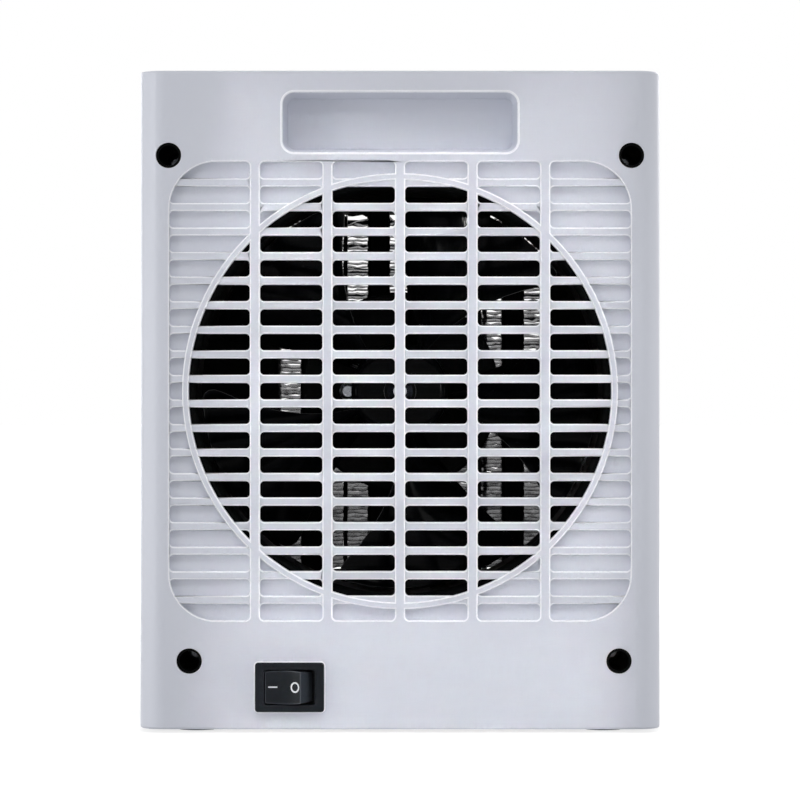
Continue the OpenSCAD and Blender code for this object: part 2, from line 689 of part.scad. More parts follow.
// Bridge from one screw to the other with a cup for the bush in its middle.
// Local +Y points away from the stack.
module bracket() {
    strap_w = 11;
    knee = 11.5;
    lift = cup_gap + 1;
    difference() {
        union() {
            translate([0, 0, -strap_w / 2]) linear_extrude(strap_w) polygon([
                [-stator_w / 2, 0], [-knee - 1.4, 0], [-knee + 2, lift], [knee - 2, lift], [knee + 1.4, 0],
                [stator_w / 2, 0], [stator_w / 2, bracket_t], [knee + 0.6, bracket_t],
                [knee - 2.6, lift + bracket_t], [-knee + 2.6, lift + bracket_t],
                [-knee - 0.6, bracket_t], [-stator_w / 2, bracket_t]]);
            rod_y(0, 0, bush_r + 1.6, cup_gap, cup_gap + cup_l);
        }
        rod_y(0, 0, bush_r + eps, cup_gap - 1, cup_gap + cup_l + 1);
        for (s = [-1, 1]) rod_y(s * motor_hole_x, 0, motor_screw_r + 0.1, -1, bracket_t + 1, 32);
    }
}

module motor_rear_bracket() color("#9a9da3")
    translate([0, stack_y0, fan_z]) mirror([0, 1, 0]) bracket();

module motor_front_bracket() color("#9a9da3") translate([0, stack_y1, fan_z]) bracket();

module motor_bushes() color("#a98a4e") on_fan_axis() for (y = [rear_cup_y0, front_cup_y0])
    translate([0, 0, y]) difference() {
        cylinder(h = cup_l, r = bush_r, $fn = 48);
        translate([0, 0, -1]) cylinder(h = cup_l + 2, r = shaft_r + running, $fn = 48);
    }

nut_t = 2.4;
motor_screw_end = stack_y1 + bracket_t + nut_t + 1;

module motor_screws() color(steel) for (s = [-1, 1])
    translate([s * motor_hole_x, plate_y0, fan_z])
        screw(motor_screw_r, motor_screw_end - plate_y0, 2.8, 1.6);

module motor_nuts() color(steel) for (s = [-1, 1])
    translate([s * motor_hole_x, 0, fan_z]) difference() {
        rod_y(0, 0, 3.1, stack_y1 + bracket_t, stack_y1 + bracket_t + nut_t, 6);
        rod_y(0, 0, motor_screw_r + eps, stack_y1, motor_screw_end);
    }

// ---- heating element ----

unit_pitch = tube_t + 2 * (2 * strip_t + fin_w) + pack_gap;
tube_over = 6;
tube_h = fin_h + 2 * (fin_room + tube_over);
tube_wall = 0.8;
unit_x = [for (i = [0:tube_n - 1]) element_x + (i - (tube_n - 1) / 2) * unit_pitch];
element_w = tube_n * unit_pitch - pack_gap;
stone_t = 2.1;
plate_gap = 0.05;
electrode_t = 0.6;

module heater_tubes() color("#b4b6b8") for (x = unit_x)
    translate([x, (fin_y0 + fin_y1) / 2, fan_z - tube_h / 2]) linear_extrude(tube_h) difference() {
        rounded(tube_t, fin_d, 1);
        rounded(tube_t - 2 * tube_wall, fin_d - 2 * tube_wall, 0.4);
    }

stone_n = 4;
stone_h = 24;

module ceramic_stones() color("#4a4642") for (x = unit_x, i = [0:stone_n - 1])
    translate([x, (fin_y0 + fin_y1) / 2, fan_z + (i - (stone_n - 1) / 2) * (stone_h + 1)])
        cube([stone_t, fin_d - 2 * tube_wall - 1, stone_h], center = true);

tab_w = 4.8;
tab_up = tube_h / 2 + 12;

// Two contact plates beside the stones of each tube, each ending in a tab above the holder
module heater_electrodes() color("#c9c2a8") for (x = unit_x, s = [-1, 1])
    translate([x + s * (stone_t / 2 + plate_gap + electrode_t / 2), 0, fan_z]) {
        box(-electrode_t / 2, electrode_t / 2, fin_y0 + tube_wall + 0.6, fin_y1 - tube_wall - 0.6,
            -tube_h / 2 + 2, tube_h / 2 - 1);
        box(-electrode_t / 2, electrode_t / 2,
            (fin_y0 + fin_y1) / 2 + s * 3.4 - tab_w / 2, (fin_y0 + fin_y1) / 2 + s * 3.4 + tab_w / 2,
            tube_h / 2 - 2, tab_up);
    }

// A folded sheet: the chain of folds, moved sideways both ways by half the sheet's level width
module fin_outline() {
    side = fin_t * fin_w / fold_pitch;
    steps = 2 * fold_n;
    function fold_x(i) = (i % 2 == 0 ? -1 : 1) * (fin_w / 2 - side);
    polygon(concat(
        [for (i = [0:steps]) [fold_x(i) + side, i * fold_pitch / 2]],
        [for (i = [steps:-1:0]) [fold_x(i) - side, i * fold_pitch / 2]]));
}

fin_offset = tube_t / 2 + strip_t + fin_w / 2;

module heater_fins() color("#d5d7d9") for (x = unit_x, s = [-1, 1])
    translate([x + s * fin_offset, 0, fan_z - fin_h / 2]) along_y(fin_y0, fin_y1)
        mirror([s < 0 ? 1 : 0, 0]) fin_outline();

module fin_strips() color("#c3c5c8") for (x = unit_x, s = [-1, 1], d = [-1, 1])
    translate([x + s * fin_offset + d * (fin_w + strip_t) / 2, 0, fan_z])
        box(-strip_t / 2, strip_t / 2, fin_y0, fin_y1, -fin_h / 2, fin_h / 2);

bar_z = fin_h / 2 + fin_room;
holder_h = 13;
holder_y0 = fin_y0 - 2.5;
holder_w = element_w + 8;
ear_w = 12;
ear_x = holder_w / 2 + ear_w / 2 - 2;
ear_t = 4;
holder_screw_r = 1.5;

// Bar over the tube ends with a pocket for each and an ear at both ends; local +Z points outwards
module holder(tabs) {
    y_mid = (fin_y0 + fin_y1) / 2;
    difference() {
        union() {
            box(element_x - holder_w / 2, element_x + holder_w / 2, holder_y0, baffle_y0, bar_z, bar_z + holder_h);
            box(element_x - ear_x - ear_w / 2, element_x + ear_x + ear_w / 2, baffle_y0 - ear_t, baffle_y0,
                bar_z + 1, bar_z + holder_h - 1);
        }
        for (x = unit_x) {
            translate([x, y_mid, bar_z - 1]) linear_extrude(tube_over + 1 + seat)
                rounded(tube_t + 2 * seat, fin_d + 2 * seat, 1.1);
            if (tabs) for (s = [-1, 1])
                translate([x + s * (stone_t / 2 + plate_gap + electrode_t / 2), y_mid + s * 3.4, bar_z])
                    cube([electrode_t + 0.4, tab_w + 0.4, 3 * holder_h], center = true);
        }
        for (s = [-1, 1]) rod_y(element_x + s * (ear_x + 1), bar_z + holder_h / 2, holder_screw_r + 0.2,
            baffle_y0 - ear_t - 1, baffle_y0 + 1);
    }
}

module heater_top_holder() color("#2a2826") translate([0, 0, fan_z]) holder(true);

module heater_bottom_holder() color("#2a2826") translate([0, 0, fan_z]) mirror([0, 0, 1]) holder(false);

holder_screws_at = [for (sx = [-1, 1], sz = [-1, 1])
    [element_x + sx * (ear_x + 1), fan_z + sz * (bar_z + holder_h / 2)]];

module holder_screws() color(steel) for (p = holder_screws_at)
    translate([p[0], baffle_y0 - ear_t, p[1]]) screw(holder_screw_r, 9, 2.8, 2);

cutout_x = baffle_w / 2 - 14;
cutout_z = -34;
cutout_r = 8;
cutout_screw_z = 12;
fuse_in = 13;
fuse_x = fuse_in - baffle_w / 2;
fuse_z = -34;

module heater_baffle() color("#1f1e1d") difference() {
    union() {
        translate([0, 0, fan_z]) along_y(baffle_y0, baffle_y1) difference() {
            rounded(baffle_w, baffle_h, baffle_r);
            translate([element_x, 0]) square([element_w + 1, fin_h + 1], center = true);
        }
        for (p = holder_screws_at) rod_y(p[0], p[1], 3.2, baffle_y0 + 1, baffle_y1 + 4);
        for (s = [-1, 1]) rod_y(cutout_x, fan_z + cutout_z + s * cutout_screw_z, 3, baffle_y0 + 1, baffle_y1 + 3);
    }
    for (p = holder_screws_at) rod_y(p[0], p[1], holder_screw_r + eps, baffle_y0 - 1, baffle_y1 + 3.2);
    for (p = baffle_screws_at) rod_y(p[0], p[1], baffle_screw_r + 0.2, baffle_y0 - 1, baffle_y1 + 1);
    for (s = [-1, 1]) rod_y(cutout_x, fan_z + cutout_z + s * cutout_screw_z, 1.2 + eps,
        baffle_y0 - 1, baffle_y1 + 2.4);
    rod_y(fuse_x, fan_z + fuse_z, 1.6, baffle_y0 - 1, baffle_y1 + 1);
}

module baffle_screws() color(steel) for (p = baffle_screws_at)
    translate([p[0], baffle_y0, p[1]]) screw(baffle_screw_r, 11, 3, 2.2);

// Snap-action bimetal switch on a slotted strap, with two blade tabs
module thermal_cutout() color("#3a2f28") translate([cutout_x, baffle_y0, fan_z + cutout_z]) {
    difference() {
        union() {
            box(-4, 4, -0.8, 0, -cutout_screw_z - 4, cutout_screw_z + 4);
            rod_y(0, 0, cutout_r, -2.6, -0.4);
            rod_y(0, 0, cutout_r - 0.8, -9.5, -2);
            for (s = [-1, 1]) box(s * 4.2 - 0.4, s * 4.2 + 0.4, -15, -9, -2.4, 2.4);
        }
        for (s = [-1, 1]) rod_y(0, s * cutout_screw_z, 1.5, -3, 1);
    }
}

module cutout_screws() color(steel) for (s = [-1, 1])
    translate([cutout_x, baffle_y0 - 0.8, fan_z + cutout_z + s * cutout_screw_z]) screw(1.2, 5.4, 2.2, 1.6);

fuse_r = 2;
fuse_y = baffle_y0 - 4.4;

// One-shot thermal fuse with its two wire ends, lying upright in its clip
module thermal_fuse() color("#cfc9bd") translate([fuse_x, fuse_y, fan_z + fuse_z]) {
    translate([0, 0, -6]) cylinder(h = 12, r = fuse_r, $fn = 32);
    translate([0, 0, -14]) cylinder(h = 28, r = 0.5, $fn = 16);
}

module fuse_clip() color(steel) translate([fuse_x, 0, fan_z + fuse_z]) {
    difference() {
        union() {
            translate([0, fuse_y, -3]) cylinder(h = 6, r = fuse_r + 0.8, $fn = 32);
            box(-2.4, 2.4, fuse_y + fuse_r - 0.4, baffle_y0, -3, 3);
        }
        translate([0, fuse_y, -4]) cylinder(h = 8, r = fuse_r + eps, $fn = 32);
        box(-1.4, 1.4, fuse_y - 4, fuse_y, -4, 4);
    }
    rod_y(0, 0, 1.6 - eps, baffle_y0 - 1, baffle_y1 + 0.6);
}

// ---- power switch ----

switch_body_w = 18.9;
switch_body_h = 12.7;
switch_body_d = 14;
pivot_y = back_y - bezel_t + pivot_in;
trunnion_r = 1.2;
trunnion_l = 0.6;
rocker_h = rocker_gap_h - 0.4;
flank_bow = 0.6;
flank_r = (pow(rocker_foot_x, 2) + pow(flank_bow, 2)) / (2 * flank_bow);

module switch_housing() color(black) translate([-switch_x, 0, switch_z]) difference() {
    union() {
        along_y(back_y - bezel_t, back_y) rounded(bezel_w, bezel_h, 0.9);
        box(-switch_body_w / 2, switch_body_w / 2, back_y - 1, back_y + switch_body_d,
            -switch_body_h / 2, switch_body_h / 2);
        // snap noses behind the wall
        for (s = [-1, 1]) translate([s * switch_body_w / 2, back_y + wall + seat, 0])
            linear_extrude(5, center = true) polygon([[0, 0], [s * 0.9, 0.5], [0, 5]]);
    }
    along_y(back_y - bezel_t - 1, back_y + 9) rounded(rocker_gap_w, rocker_gap_h, 0.8);
    translate([0, pivot_y, -rocker_h / 2 - trunnion_l - 0.15])
        cylinder(h = rocker_h + 2 * trunnion_l + 0.3, r = trunnion_r + running, $fn = 32);
    for (s = [-1, 1]) box(s * 4.4 - 0.4 - seat, s * 4.4 + 0.4 + seat, back_y + 10, back_y + 20,
        -2.4 - seat, 2.4 + seat);
}

// Side view of the rocker about its pivot: +X along its length, +Y out of the switch
module rocker_outline() difference() {
    polygon([[-rocker_foot_x, 1], [-crest_x, crest_up], [crest_x, crest_up], [rocker_foot_x, 1],
        [4.5, -1.8], [-4.5, -1.8]]);
    translate([0, crest_up - dish + dish_r]) circle(dish_r, $fn = 160);
}

dish_r = (pow(crest_x, 2) + pow(dish, 2)) / (2 * dish);

// Disc whose rim is one of the two bowed flanks of the rocker
module flank(side) translate([0, side * (flank_r - rocker_h / 2)]) circle(flank_r, $fn = 240);

module switch_rocker() color("#202226") translate([-switch_x, pivot_y, switch_z])
    rotate([0, 0, -rocker_tilt]) {
        intersection() {
            translate([0, 0, rocker_h / 2]) rotate([180, 0, 0]) linear_extrude(rocker_h) rocker_outline();
            along_y(-crest_up - 1, crest_up) flank(1);
            along_y(-crest_up - 1, crest_up) flank(-1);
        }
        translate([0, 0, -rocker_h / 2 - trunnion_l])
            cylinder(h = rocker_h + 2 * trunnion_l, r = trunnion_r, $fn = 32);
    }

module switch_terminals() color("#c9c2a8") for (s = [-1, 1])
    translate([-switch_x + s * 4.4, 0, switch_z])
        box(-0.4, 0.4, back_y + 10, back_y + switch_body_d + 8, -2.4, 2.4);

// ---- supply ----

block_x = -12;
block_y = cord_y;
block_z = base_z + wall;
block_w = 18;
block_d = 17;
block_h = 12;

// Two-way terminal block: wires enter along X, screws go in from the top
module terminal_block() color("#e9e6dc") translate([block_x, block_y, block_z]) difference() {
    box(-block_w / 2, block_w / 2, -block_d / 2, block_d / 2, 0, block_h);
    for (s = [-1, 1]) {
        translate([-block_w, s * 4.2, 4.6]) rotate([0, 90, 0]) cylinder(h = 2 * block_w, r = 1.9, $fn = 32);
        for (x = [-5, 5]) translate([x, s * 4.2, 3]) cylinder(h = block_h, r = 1.7, $fn = 32);
    }
}

module block_screws() color(steel) for (x = [-5, 5], s = [-1, 1])
    translate([block_x + x, block_y + s * 4.2, block_z + 6]) difference() {
        cylinder(h = 4.2, r = 1.65, $fn = 32);
        translate([-2, -0.3, 3.3]) cube([4, 0.6, 2]);
    }

bush_neck_r = cord_r + 1.5;
bush_in = pocket_x1 + wall;

// Bush in the wall of the cord pocket, its bore along X
module cord_bush() color("#232426") translate([0, cord_y, cord_z]) rotate([0, 90, 0]) rotate_extrude($fn = 48)
    polygon([[cord_r, pocket_x1 - 2], [cord_r + 1, pocket_x1 - 2], [bush_neck_r + 1.2, pocket_x1 - 1.2],
        [bush_neck_r + 1.2, pocket_x1], [bush_neck_r, pocket_x1], [bush_neck_r, bush_in],
        [bush_neck_r + 0.8, bush_in], [bush_neck_r + 0.8, bush_in + 0.6], [bush_neck_r, bush_in + 1.6],
        [cord_r, bush_in + 1.6]]);

clamp_x = bush_in + 9;
clamp_post_y = 9;

// Saddle that grips the cord inside the case, on a base with two posts
module cord_clamp() color("#d9d6cd") translate([clamp_x, cord_y, 0]) difference() {
    union() {
        box(-4, 4, -12, 12, base_z + wall, base_z + wall + 3);
        box(-4, 4, -12, 12, cord_z + 1.2, cord_z + 4);
        for (s = [-1, 1]) box(-4, 4, s * 9 - 3, s * 9 + 3, base_z + wall, cord_z + 4);
    }
    translate([-5, 0, cord_z]) rotate([0, 90, 0]) cylinder(h = 10, r = cord_r, $fn = 48);
    for (s = [-1, 1]) translate([0, s * clamp_post_y, base_z + wall + 1]) cylinder(h = 20, r = 1.3 + eps, $fn = 32);
}

module clamp_screws() color(steel) for (s = [-1, 1])
    translate([clamp_x, cord_y + s * clamp_post_y, cord_z + 4]) rotate([-90, 0, 0]) screw(1.3, 6, 2.5, 1.8);

rear_housing();
front_housing();
outlet_grille();
rubber_feet();
case_screws();
fan_duct();
duct_screws();
fan_impeller();
impeller_clip();
motor_stator();
shading_rings();
motor_bobbin();
motor_coil();
motor_rotor();
motor_shaft();
motor_rear_bracket();
motor_front_bracket();
motor_bushes();
motor_screws();
motor_nuts();
heater_tubes();
ceramic_stones();
heater_electrodes();
heater_fins();
fin_strips();
heater_top_holder();
heater_bottom_holder();
holder_screws();
heater_baffle();
baffle_screws();
thermal_cutout();
cutout_screws();
thermal_fuse();
fuse_clip();
switch_housing();
switch_rocker();
switch_terminals();
terminal_block();
block_screws();
cord_bush();
cord_clamp();
clamp_screws();
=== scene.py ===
"""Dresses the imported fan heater, as seen from its back.

Lengths are in metres in the CAD frame: +X to the right as seen from behind, +Y along the air flow, +Z up.
"""

import json
import math
import random

import bmesh
import bpy
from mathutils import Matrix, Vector


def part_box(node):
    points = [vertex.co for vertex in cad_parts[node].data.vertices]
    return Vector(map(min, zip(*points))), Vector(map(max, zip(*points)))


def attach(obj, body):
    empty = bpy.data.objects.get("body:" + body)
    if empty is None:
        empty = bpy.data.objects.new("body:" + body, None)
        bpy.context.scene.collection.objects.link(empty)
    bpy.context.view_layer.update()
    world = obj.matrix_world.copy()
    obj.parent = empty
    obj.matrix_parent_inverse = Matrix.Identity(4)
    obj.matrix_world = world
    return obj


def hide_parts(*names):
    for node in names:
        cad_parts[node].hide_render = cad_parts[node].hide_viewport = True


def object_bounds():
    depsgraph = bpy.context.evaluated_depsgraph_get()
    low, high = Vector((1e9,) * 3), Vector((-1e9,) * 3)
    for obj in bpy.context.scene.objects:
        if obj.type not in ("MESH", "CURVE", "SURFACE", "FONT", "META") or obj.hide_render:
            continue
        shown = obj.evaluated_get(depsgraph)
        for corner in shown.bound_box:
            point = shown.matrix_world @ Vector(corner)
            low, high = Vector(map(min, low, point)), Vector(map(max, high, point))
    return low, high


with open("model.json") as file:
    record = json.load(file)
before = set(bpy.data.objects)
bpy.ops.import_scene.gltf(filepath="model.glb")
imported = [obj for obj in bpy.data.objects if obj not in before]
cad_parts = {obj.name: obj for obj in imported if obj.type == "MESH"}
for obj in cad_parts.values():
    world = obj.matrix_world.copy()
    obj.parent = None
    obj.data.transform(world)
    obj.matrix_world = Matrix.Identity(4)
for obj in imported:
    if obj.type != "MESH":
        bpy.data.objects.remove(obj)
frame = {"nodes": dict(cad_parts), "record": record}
cad_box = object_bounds()

bl_info = {
    "name": "Fan heater",
    "version": (1, 0, 0),
    "blender": (4, 5, 0),
    "location": "View3D > Sidebar > Heater",
    "description": "Builds the looks of a free-standing ceramic fan heater round its packed CAD model",
    "category": "Object",
}

MM = 0.001
# Turn that stands a flat primitive upright, and that makes a new camera look forwards
UPRIGHT = (math.pi / 2, 0, 0)


# ---------------------------------------------------------------------------
# Colours and materials
# ---------------------------------------------------------------------------


def linear(code):
    """The linear RGB of an sRGB hex colour such as #cdd0da."""
    parts = [int(code[i : i + 2], 16) / 255 for i in (1, 3, 5)]
    return tuple(p / 12.92 if p <= 0.04045 else ((p + 0.055) / 1.055) ** 2.4 for p in parts)


def add_node(material, kind, inputs=None, stops=(), **settings):
    """Adds a node with its settings, its colour stops and its inputs, each a value or a link; returns the node."""
    tree = material.node_tree
    node = tree.nodes.new(kind)
    for key, value in settings.items():
        setattr(node, key, value)
    for place, colour in stops:
        ramp = node.color_ramp.elements
        stop = ramp[0] if len(ramp) == 2 and place == 0 else ramp[-1] if place == 1 else ramp.new(place)
        stop.position, stop.color = place, (*colour, 1)
    for key, value in (inputs or {}).items():
        if isinstance(value, bpy.types.NodeSocket):
            tree.links.new(value, node.inputs[key])
        else:
            node.inputs[key].default_value = value
    return node


def shades(colour, depth):
    """Two stops for a colour ramp: the colour a little darker and as it is."""
    return ((0, tuple(c * (1 - depth) for c in colour)), (1, colour))


def new_material(name):
    """An empty material, and the Object coordinates that its patterns are laid out in."""
    material = bpy.data.materials.new(name)
    material.use_nodes = True
    material.node_tree.nodes.clear()
    return material, add_node(material, "ShaderNodeTexCoord").outputs["Object"]


def finish_material(material, **inputs):
    """Closes a material with a Principled shader. Its inputs are named with _ for a space."""
    shader = add_node(material, "ShaderNodeBsdfPrincipled", {k.replace("_", " "): v for k, v in inputs.items()})
    add_node(material, "ShaderNodeOutputMaterial", {"Surface": shader.outputs[0]})


def gloss_and_relief(material, texture, roughness, spread, strength, relief):
    """The Principled inputs of a surface whose gloss and relief follow one noise texture.

    roughness varies by spread either way, and relief is the height of the bumps in metres.
    """
    sheen = add_node(
        material,
        "ShaderNodeMapRange",
        {
            "Value": texture.outputs["Fac"],
            "From Min": 0.3,
            "From Max": 0.7,
            "To Min": roughness - spread,
            "To Max": roughness + spread,
        },
    )
    bump = add_node(
        material,
        "ShaderNodeBump",
        {"Height": texture.outputs["Fac"], "Strength": strength, "Distance": relief},
    )
    return {"Roughness": sheen.outputs["Result"], "Normal": bump.outputs["Normal"]}


def moulded_plastic(name, colour, roughness, grain, relief, mottle=0.04, **shader):
    """Injection-moulded plastic: coloured through, with the fine grain that the spark-eroded mould leaves.

    grain is the size of the grain in metres, relief its height, and mottle how much the tone drifts where the melt
    flowed, over about 35 mm.
    """
    material, place = new_material(name)
    flow = add_node(material, "ShaderNodeTexNoise", {"Vector": place, "Scale": 1 / (35 * MM), "Detail": 2.0})
    tone = add_node(material, "ShaderNodeValToRGB", {"Fac": flow.outputs["Fac"]}, stops=shades(colour, mottle))
    texture = add_node(
        material, "ShaderNodeTexNoise", {"Vector": place, "Scale": 1 / grain, "Detail": 3.0, "Roughness": 0.6}
    )
    surface = gloss_and_relief(material, texture, roughness, spread=0.05, strength=0.5, relief=relief)
    finish_material(material, Base_Color=tone.outputs["Color"], **surface, **shader)


def worked_metal(name, colour, roughness, streak, depth=0.12, along="Z", relief=0.004 * MM, **shader):
    """Drawn, rolled or ground metal: long fine scratches along one axis, streak metres apart.

    depth is how much darker the scratches are than the metal between them.
    """
    material, place = new_material(name)
    stretch = {"X": (0.06, 1, 1), "Y": (1, 0.06, 1), "Z": (1, 1, 0.06)}[along]
    grain = add_node(material, "ShaderNodeMapping", {"Vector": place, "Scale": stretch})
    scratches = add_node(
        material, "ShaderNodeTexNoise", {"Vector": grain.outputs[0], "Scale": 1 / streak, "Detail": 4.0}
    )
    tone = add_node(material, "ShaderNodeValToRGB", {"Fac": scratches.outputs["Fac"]}, stops=shades(colour, depth))
    surface = gloss_and_relief(material, scratches, roughness, spread=0.07, strength=0.4, relief=relief)
    finish_material(material, Base_Color=tone.outputs["Color"], Metallic=1.0, **surface, **shader)


def layered_metal(name, colour, dark, pitch, along, roughness, relief):
    """Wound wire or stacked sheets: dark lines pitch metres apart along one axis."""
    material, place = new_material(name)
    axis = {"X": 0, "Y": 1, "Z": 2}[along]
    parts = add_node(material, "ShaderNodeSeparateXYZ", {"Vector": place})
    turns = add_node(
        material, "ShaderNodeMath", {0: parts.outputs[axis], 1: 2 * math.pi / pitch}, operation="MULTIPLY"
    )
    ridge = add_node(material, "ShaderNodeMath", {0: turns.outputs[0]}, operation="SINE")
    level = add_node(
        material, "ShaderNodeMapRange", {"Value": ridge.outputs[0], "From Min": -1.0, "From Max": 1.0}
    )
    tone = add_node(
        material,
        "ShaderNodeValToRGB",
        {"Fac": level.outputs["Result"]},
        stops=((0, dark), (0.35, colour), (1, colour)),
    )
    bump = add_node(
        material, "ShaderNodeBump", {"Height": level.outputs["Result"], "Strength": 0.8, "Distance": relief}
    )
    finish_material(
        material,
        Base_Color=tone.outputs["Color"],
        Metallic=1.0,
        Roughness=roughness,
        Normal=bump.outputs["Normal"],
    )


def seen_directly(owner):
    """A value that is 1 where the camera, a reflection or a view through glass looks at the surface, and else 0."""
    path = add_node(owner, "ShaderNodeLightPath")
    value = path.outputs["Is Camera Ray"]
    for other in ("Is Glossy Ray", "Is Transmission Ray"):
        value = add_node(owner, "ShaderNodeMath", {0: value, 1: path.outputs[other]}, operation="MAXIMUM").outputs[0]
    return value


# ---------------------------------------------------------------------------
# Values a user would change
# ---------------------------------------------------------------------------


def length(name, description, value):
    """A length property, its default in millimetres."""
    return bpy.props.FloatProperty(
        name=name, description=description, default=value * MM, min=0, unit="LENGTH", subtype="DISTANCE"
    )


def colour(name, description, code):
    """A colour property, its default an sRGB hex colour."""
    return bpy.props.FloatVectorProperty(
        name=name, description=description, default=linear(code), min=0, max=1, size=3, subtype="COLOR"
    )


class HeaterSizes(bpy.types.PropertyGroup):
    """Sizes of what is rounded or added."""

    grip_edge: length("Grip edge", "Radius of the mouth of the finger grip", 0.65)
    grille_edge: length("Grille edge", "Radius of the edges of the intake grille", 0.42)
    well_edge: length("Well edge", "Radius of the mouths of the screw wells", 0.1)
    case_edge: length("Case edge", "Radius of the edges of the front housing", 0.35)
    slat_edge: length("Slat edge", "Radius of the edges of the outlet's slats", 0.3)
    switch_edge: length("Switch edge", "Radius of the edges of the power switch", 0.25)
    lip_width: length("Lip width", "Width of the lip of the case round the power switch", 0.45)
    blade_edge: length("Blade edge", "Radius of the edges of the fan blades", 0.15)
    fin_sheet: length("Fin sheet", "Thickness of the folded aluminium sheet", 0.2)
    mark_stroke: length("Mark stroke", "Width of the lines of the marks on the rocker", 0.5)
    camera_distance: length("Camera distance", "From the camera to the back of the case", 1280)


class HeaterColours(bpy.types.PropertyGroup):
    """Colours of the finishes."""

    case: colour("Case", "Light grey of both housings", "#cdd0da")
    outlet: colour("Outlet", "Dark grey of the outlet grille", "#4a4c52")
    switch: colour("Switch", "Black of the power switch", "#14181d")
    mark: colour("Marks", "White of the marks on the rocker", "#e4e6e8")
    fan: colour("Fan", "Black of the fan", "#050607")
    inner: colour("Inner frame", "Black of the frame that carries the motor", "#050606")
    rubber: colour("Rubber", "Black of the feet", "#1d1e20")


# ---------------------------------------------------------------------------
# Working on pieces
# ---------------------------------------------------------------------------


def select_only(*objects):
    """Leaves object mode with just these objects selected, the first of them active."""
    bpy.ops.object.select_all(action="DESELECT")
    for o in objects:
        o.select_set(True)
    bpy.context.view_layer.objects.active = objects[0]


def new_object(add, name, **settings):
    """Adds one object by its operator, with everything else deselected, and gives it its name."""
    bpy.ops.object.select_all(action="DESELECT")
    add(**settings)
    made = bpy.context.active_object
    made.name = made.data.name = name
    return made


def edit_all():
    """Enters edit mode with the whole mesh of the active piece selected."""
    bpy.ops.object.mode_set(mode="EDIT")
    bpy.ops.mesh.select_all(action="SELECT")


def apply_modifier(piece, kind, **settings):
    """Adds a modifier to the piece and applies it."""
    select_only(piece)
    bpy.ops.object.modifier_add(type=kind)
    modifier = piece.modifiers[-1]
    for key, value in settings.items():
        setattr(modifier, key, value)
    bpy.ops.object.modifier_apply(modifier=modifier.name)


def paint(piece, *names):
    """Gives the piece these materials, in place of any that it has."""
    piece.data.materials.clear()
    for name in names:
        piece.data.materials.append(bpy.data.materials[name])


def body_of_node(node):
    """The CAD body that a node rides on."""
    return next(b for b, nodes in frame["record"]["behaviour"]["bodies"].items() if node in nodes)


def place_piece(piece, node, replace=True):
    """Hangs the piece on the node's body and gives it the node's material slot."""
    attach(piece, body_of_node(node))
    if replace:
        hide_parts(node)


def softened(node, name, radius, finishes, segments=2, least_angle=38, share=lambda middle: 1):
    """A copy of a CAD node with its flat faces joined and its outer edges rounded, in place of the node.

    An edge is rounded where its faces meet at more than least_angle degrees. share gives how much of the radius it
    takes, from the place of its middle. The second of the finishes, if there is one, goes on the rounded edges.
    """
    select_only(frame["nodes"][node])
    bpy.ops.object.duplicate()
    piece = bpy.context.active_object
    piece.name = piece.data.name = name
    paint(piece, *finishes)
    edit_all()
    bpy.ops.mesh.customdata_custom_splitnormals_clear()
    # the same point of two triangles becomes one, and faces within half a degree of each other are joined
    bpy.ops.mesh.remove_doubles(threshold=0.002 * MM)
    bpy.ops.mesh.dissolve_limited(angle_limit=math.radians(0.5))
    bpy.ops.mesh.select_mode(type="EDGE")
    sharp = [
        (edge.index, share((edge.verts[0].co + edge.verts[1].co) / 2))
        for edge in bmesh.from_edit_mesh(piece.data).edges
        if edge.is_manifold and edge.is_convex and edge.calc_face_angle(0) > math.radians(least_angle)
    ]
    for weight in {w for _, w in sharp}:
        bpy.ops.mesh.select_all(action="DESELECT")
        mesh = bmesh.from_edit_mesh(piece.data)
        mesh.edges.ensure_lookup_table()
        for index, own in sharp:
            if own == weight:
                mesh.edges[index].select = True
        bpy.ops.transform.edge_bevelweight(value=weight)
    bpy.ops.object.mode_set(mode="OBJECT")
    apply_modifier(
        piece,
        "BEVEL",
        width=radius,
        segments=segments,
        limit_method="WEIGHT",
        use_clamp_overlap=False,
        miter_outer="MITER_ARC",
        material=len(finishes) - 1,
    )
    select_only(piece)
    bpy.ops.object.shade_smooth_by_angle(angle=math.radians(60))
    apply_modifier(piece, "WEIGHTED_NORMAL", keep_sharp=True)
    place_piece(piece, node)
    return piece


# ---------------------------------------------------------------------------
# Operators
# ---------------------------------------------------------------------------


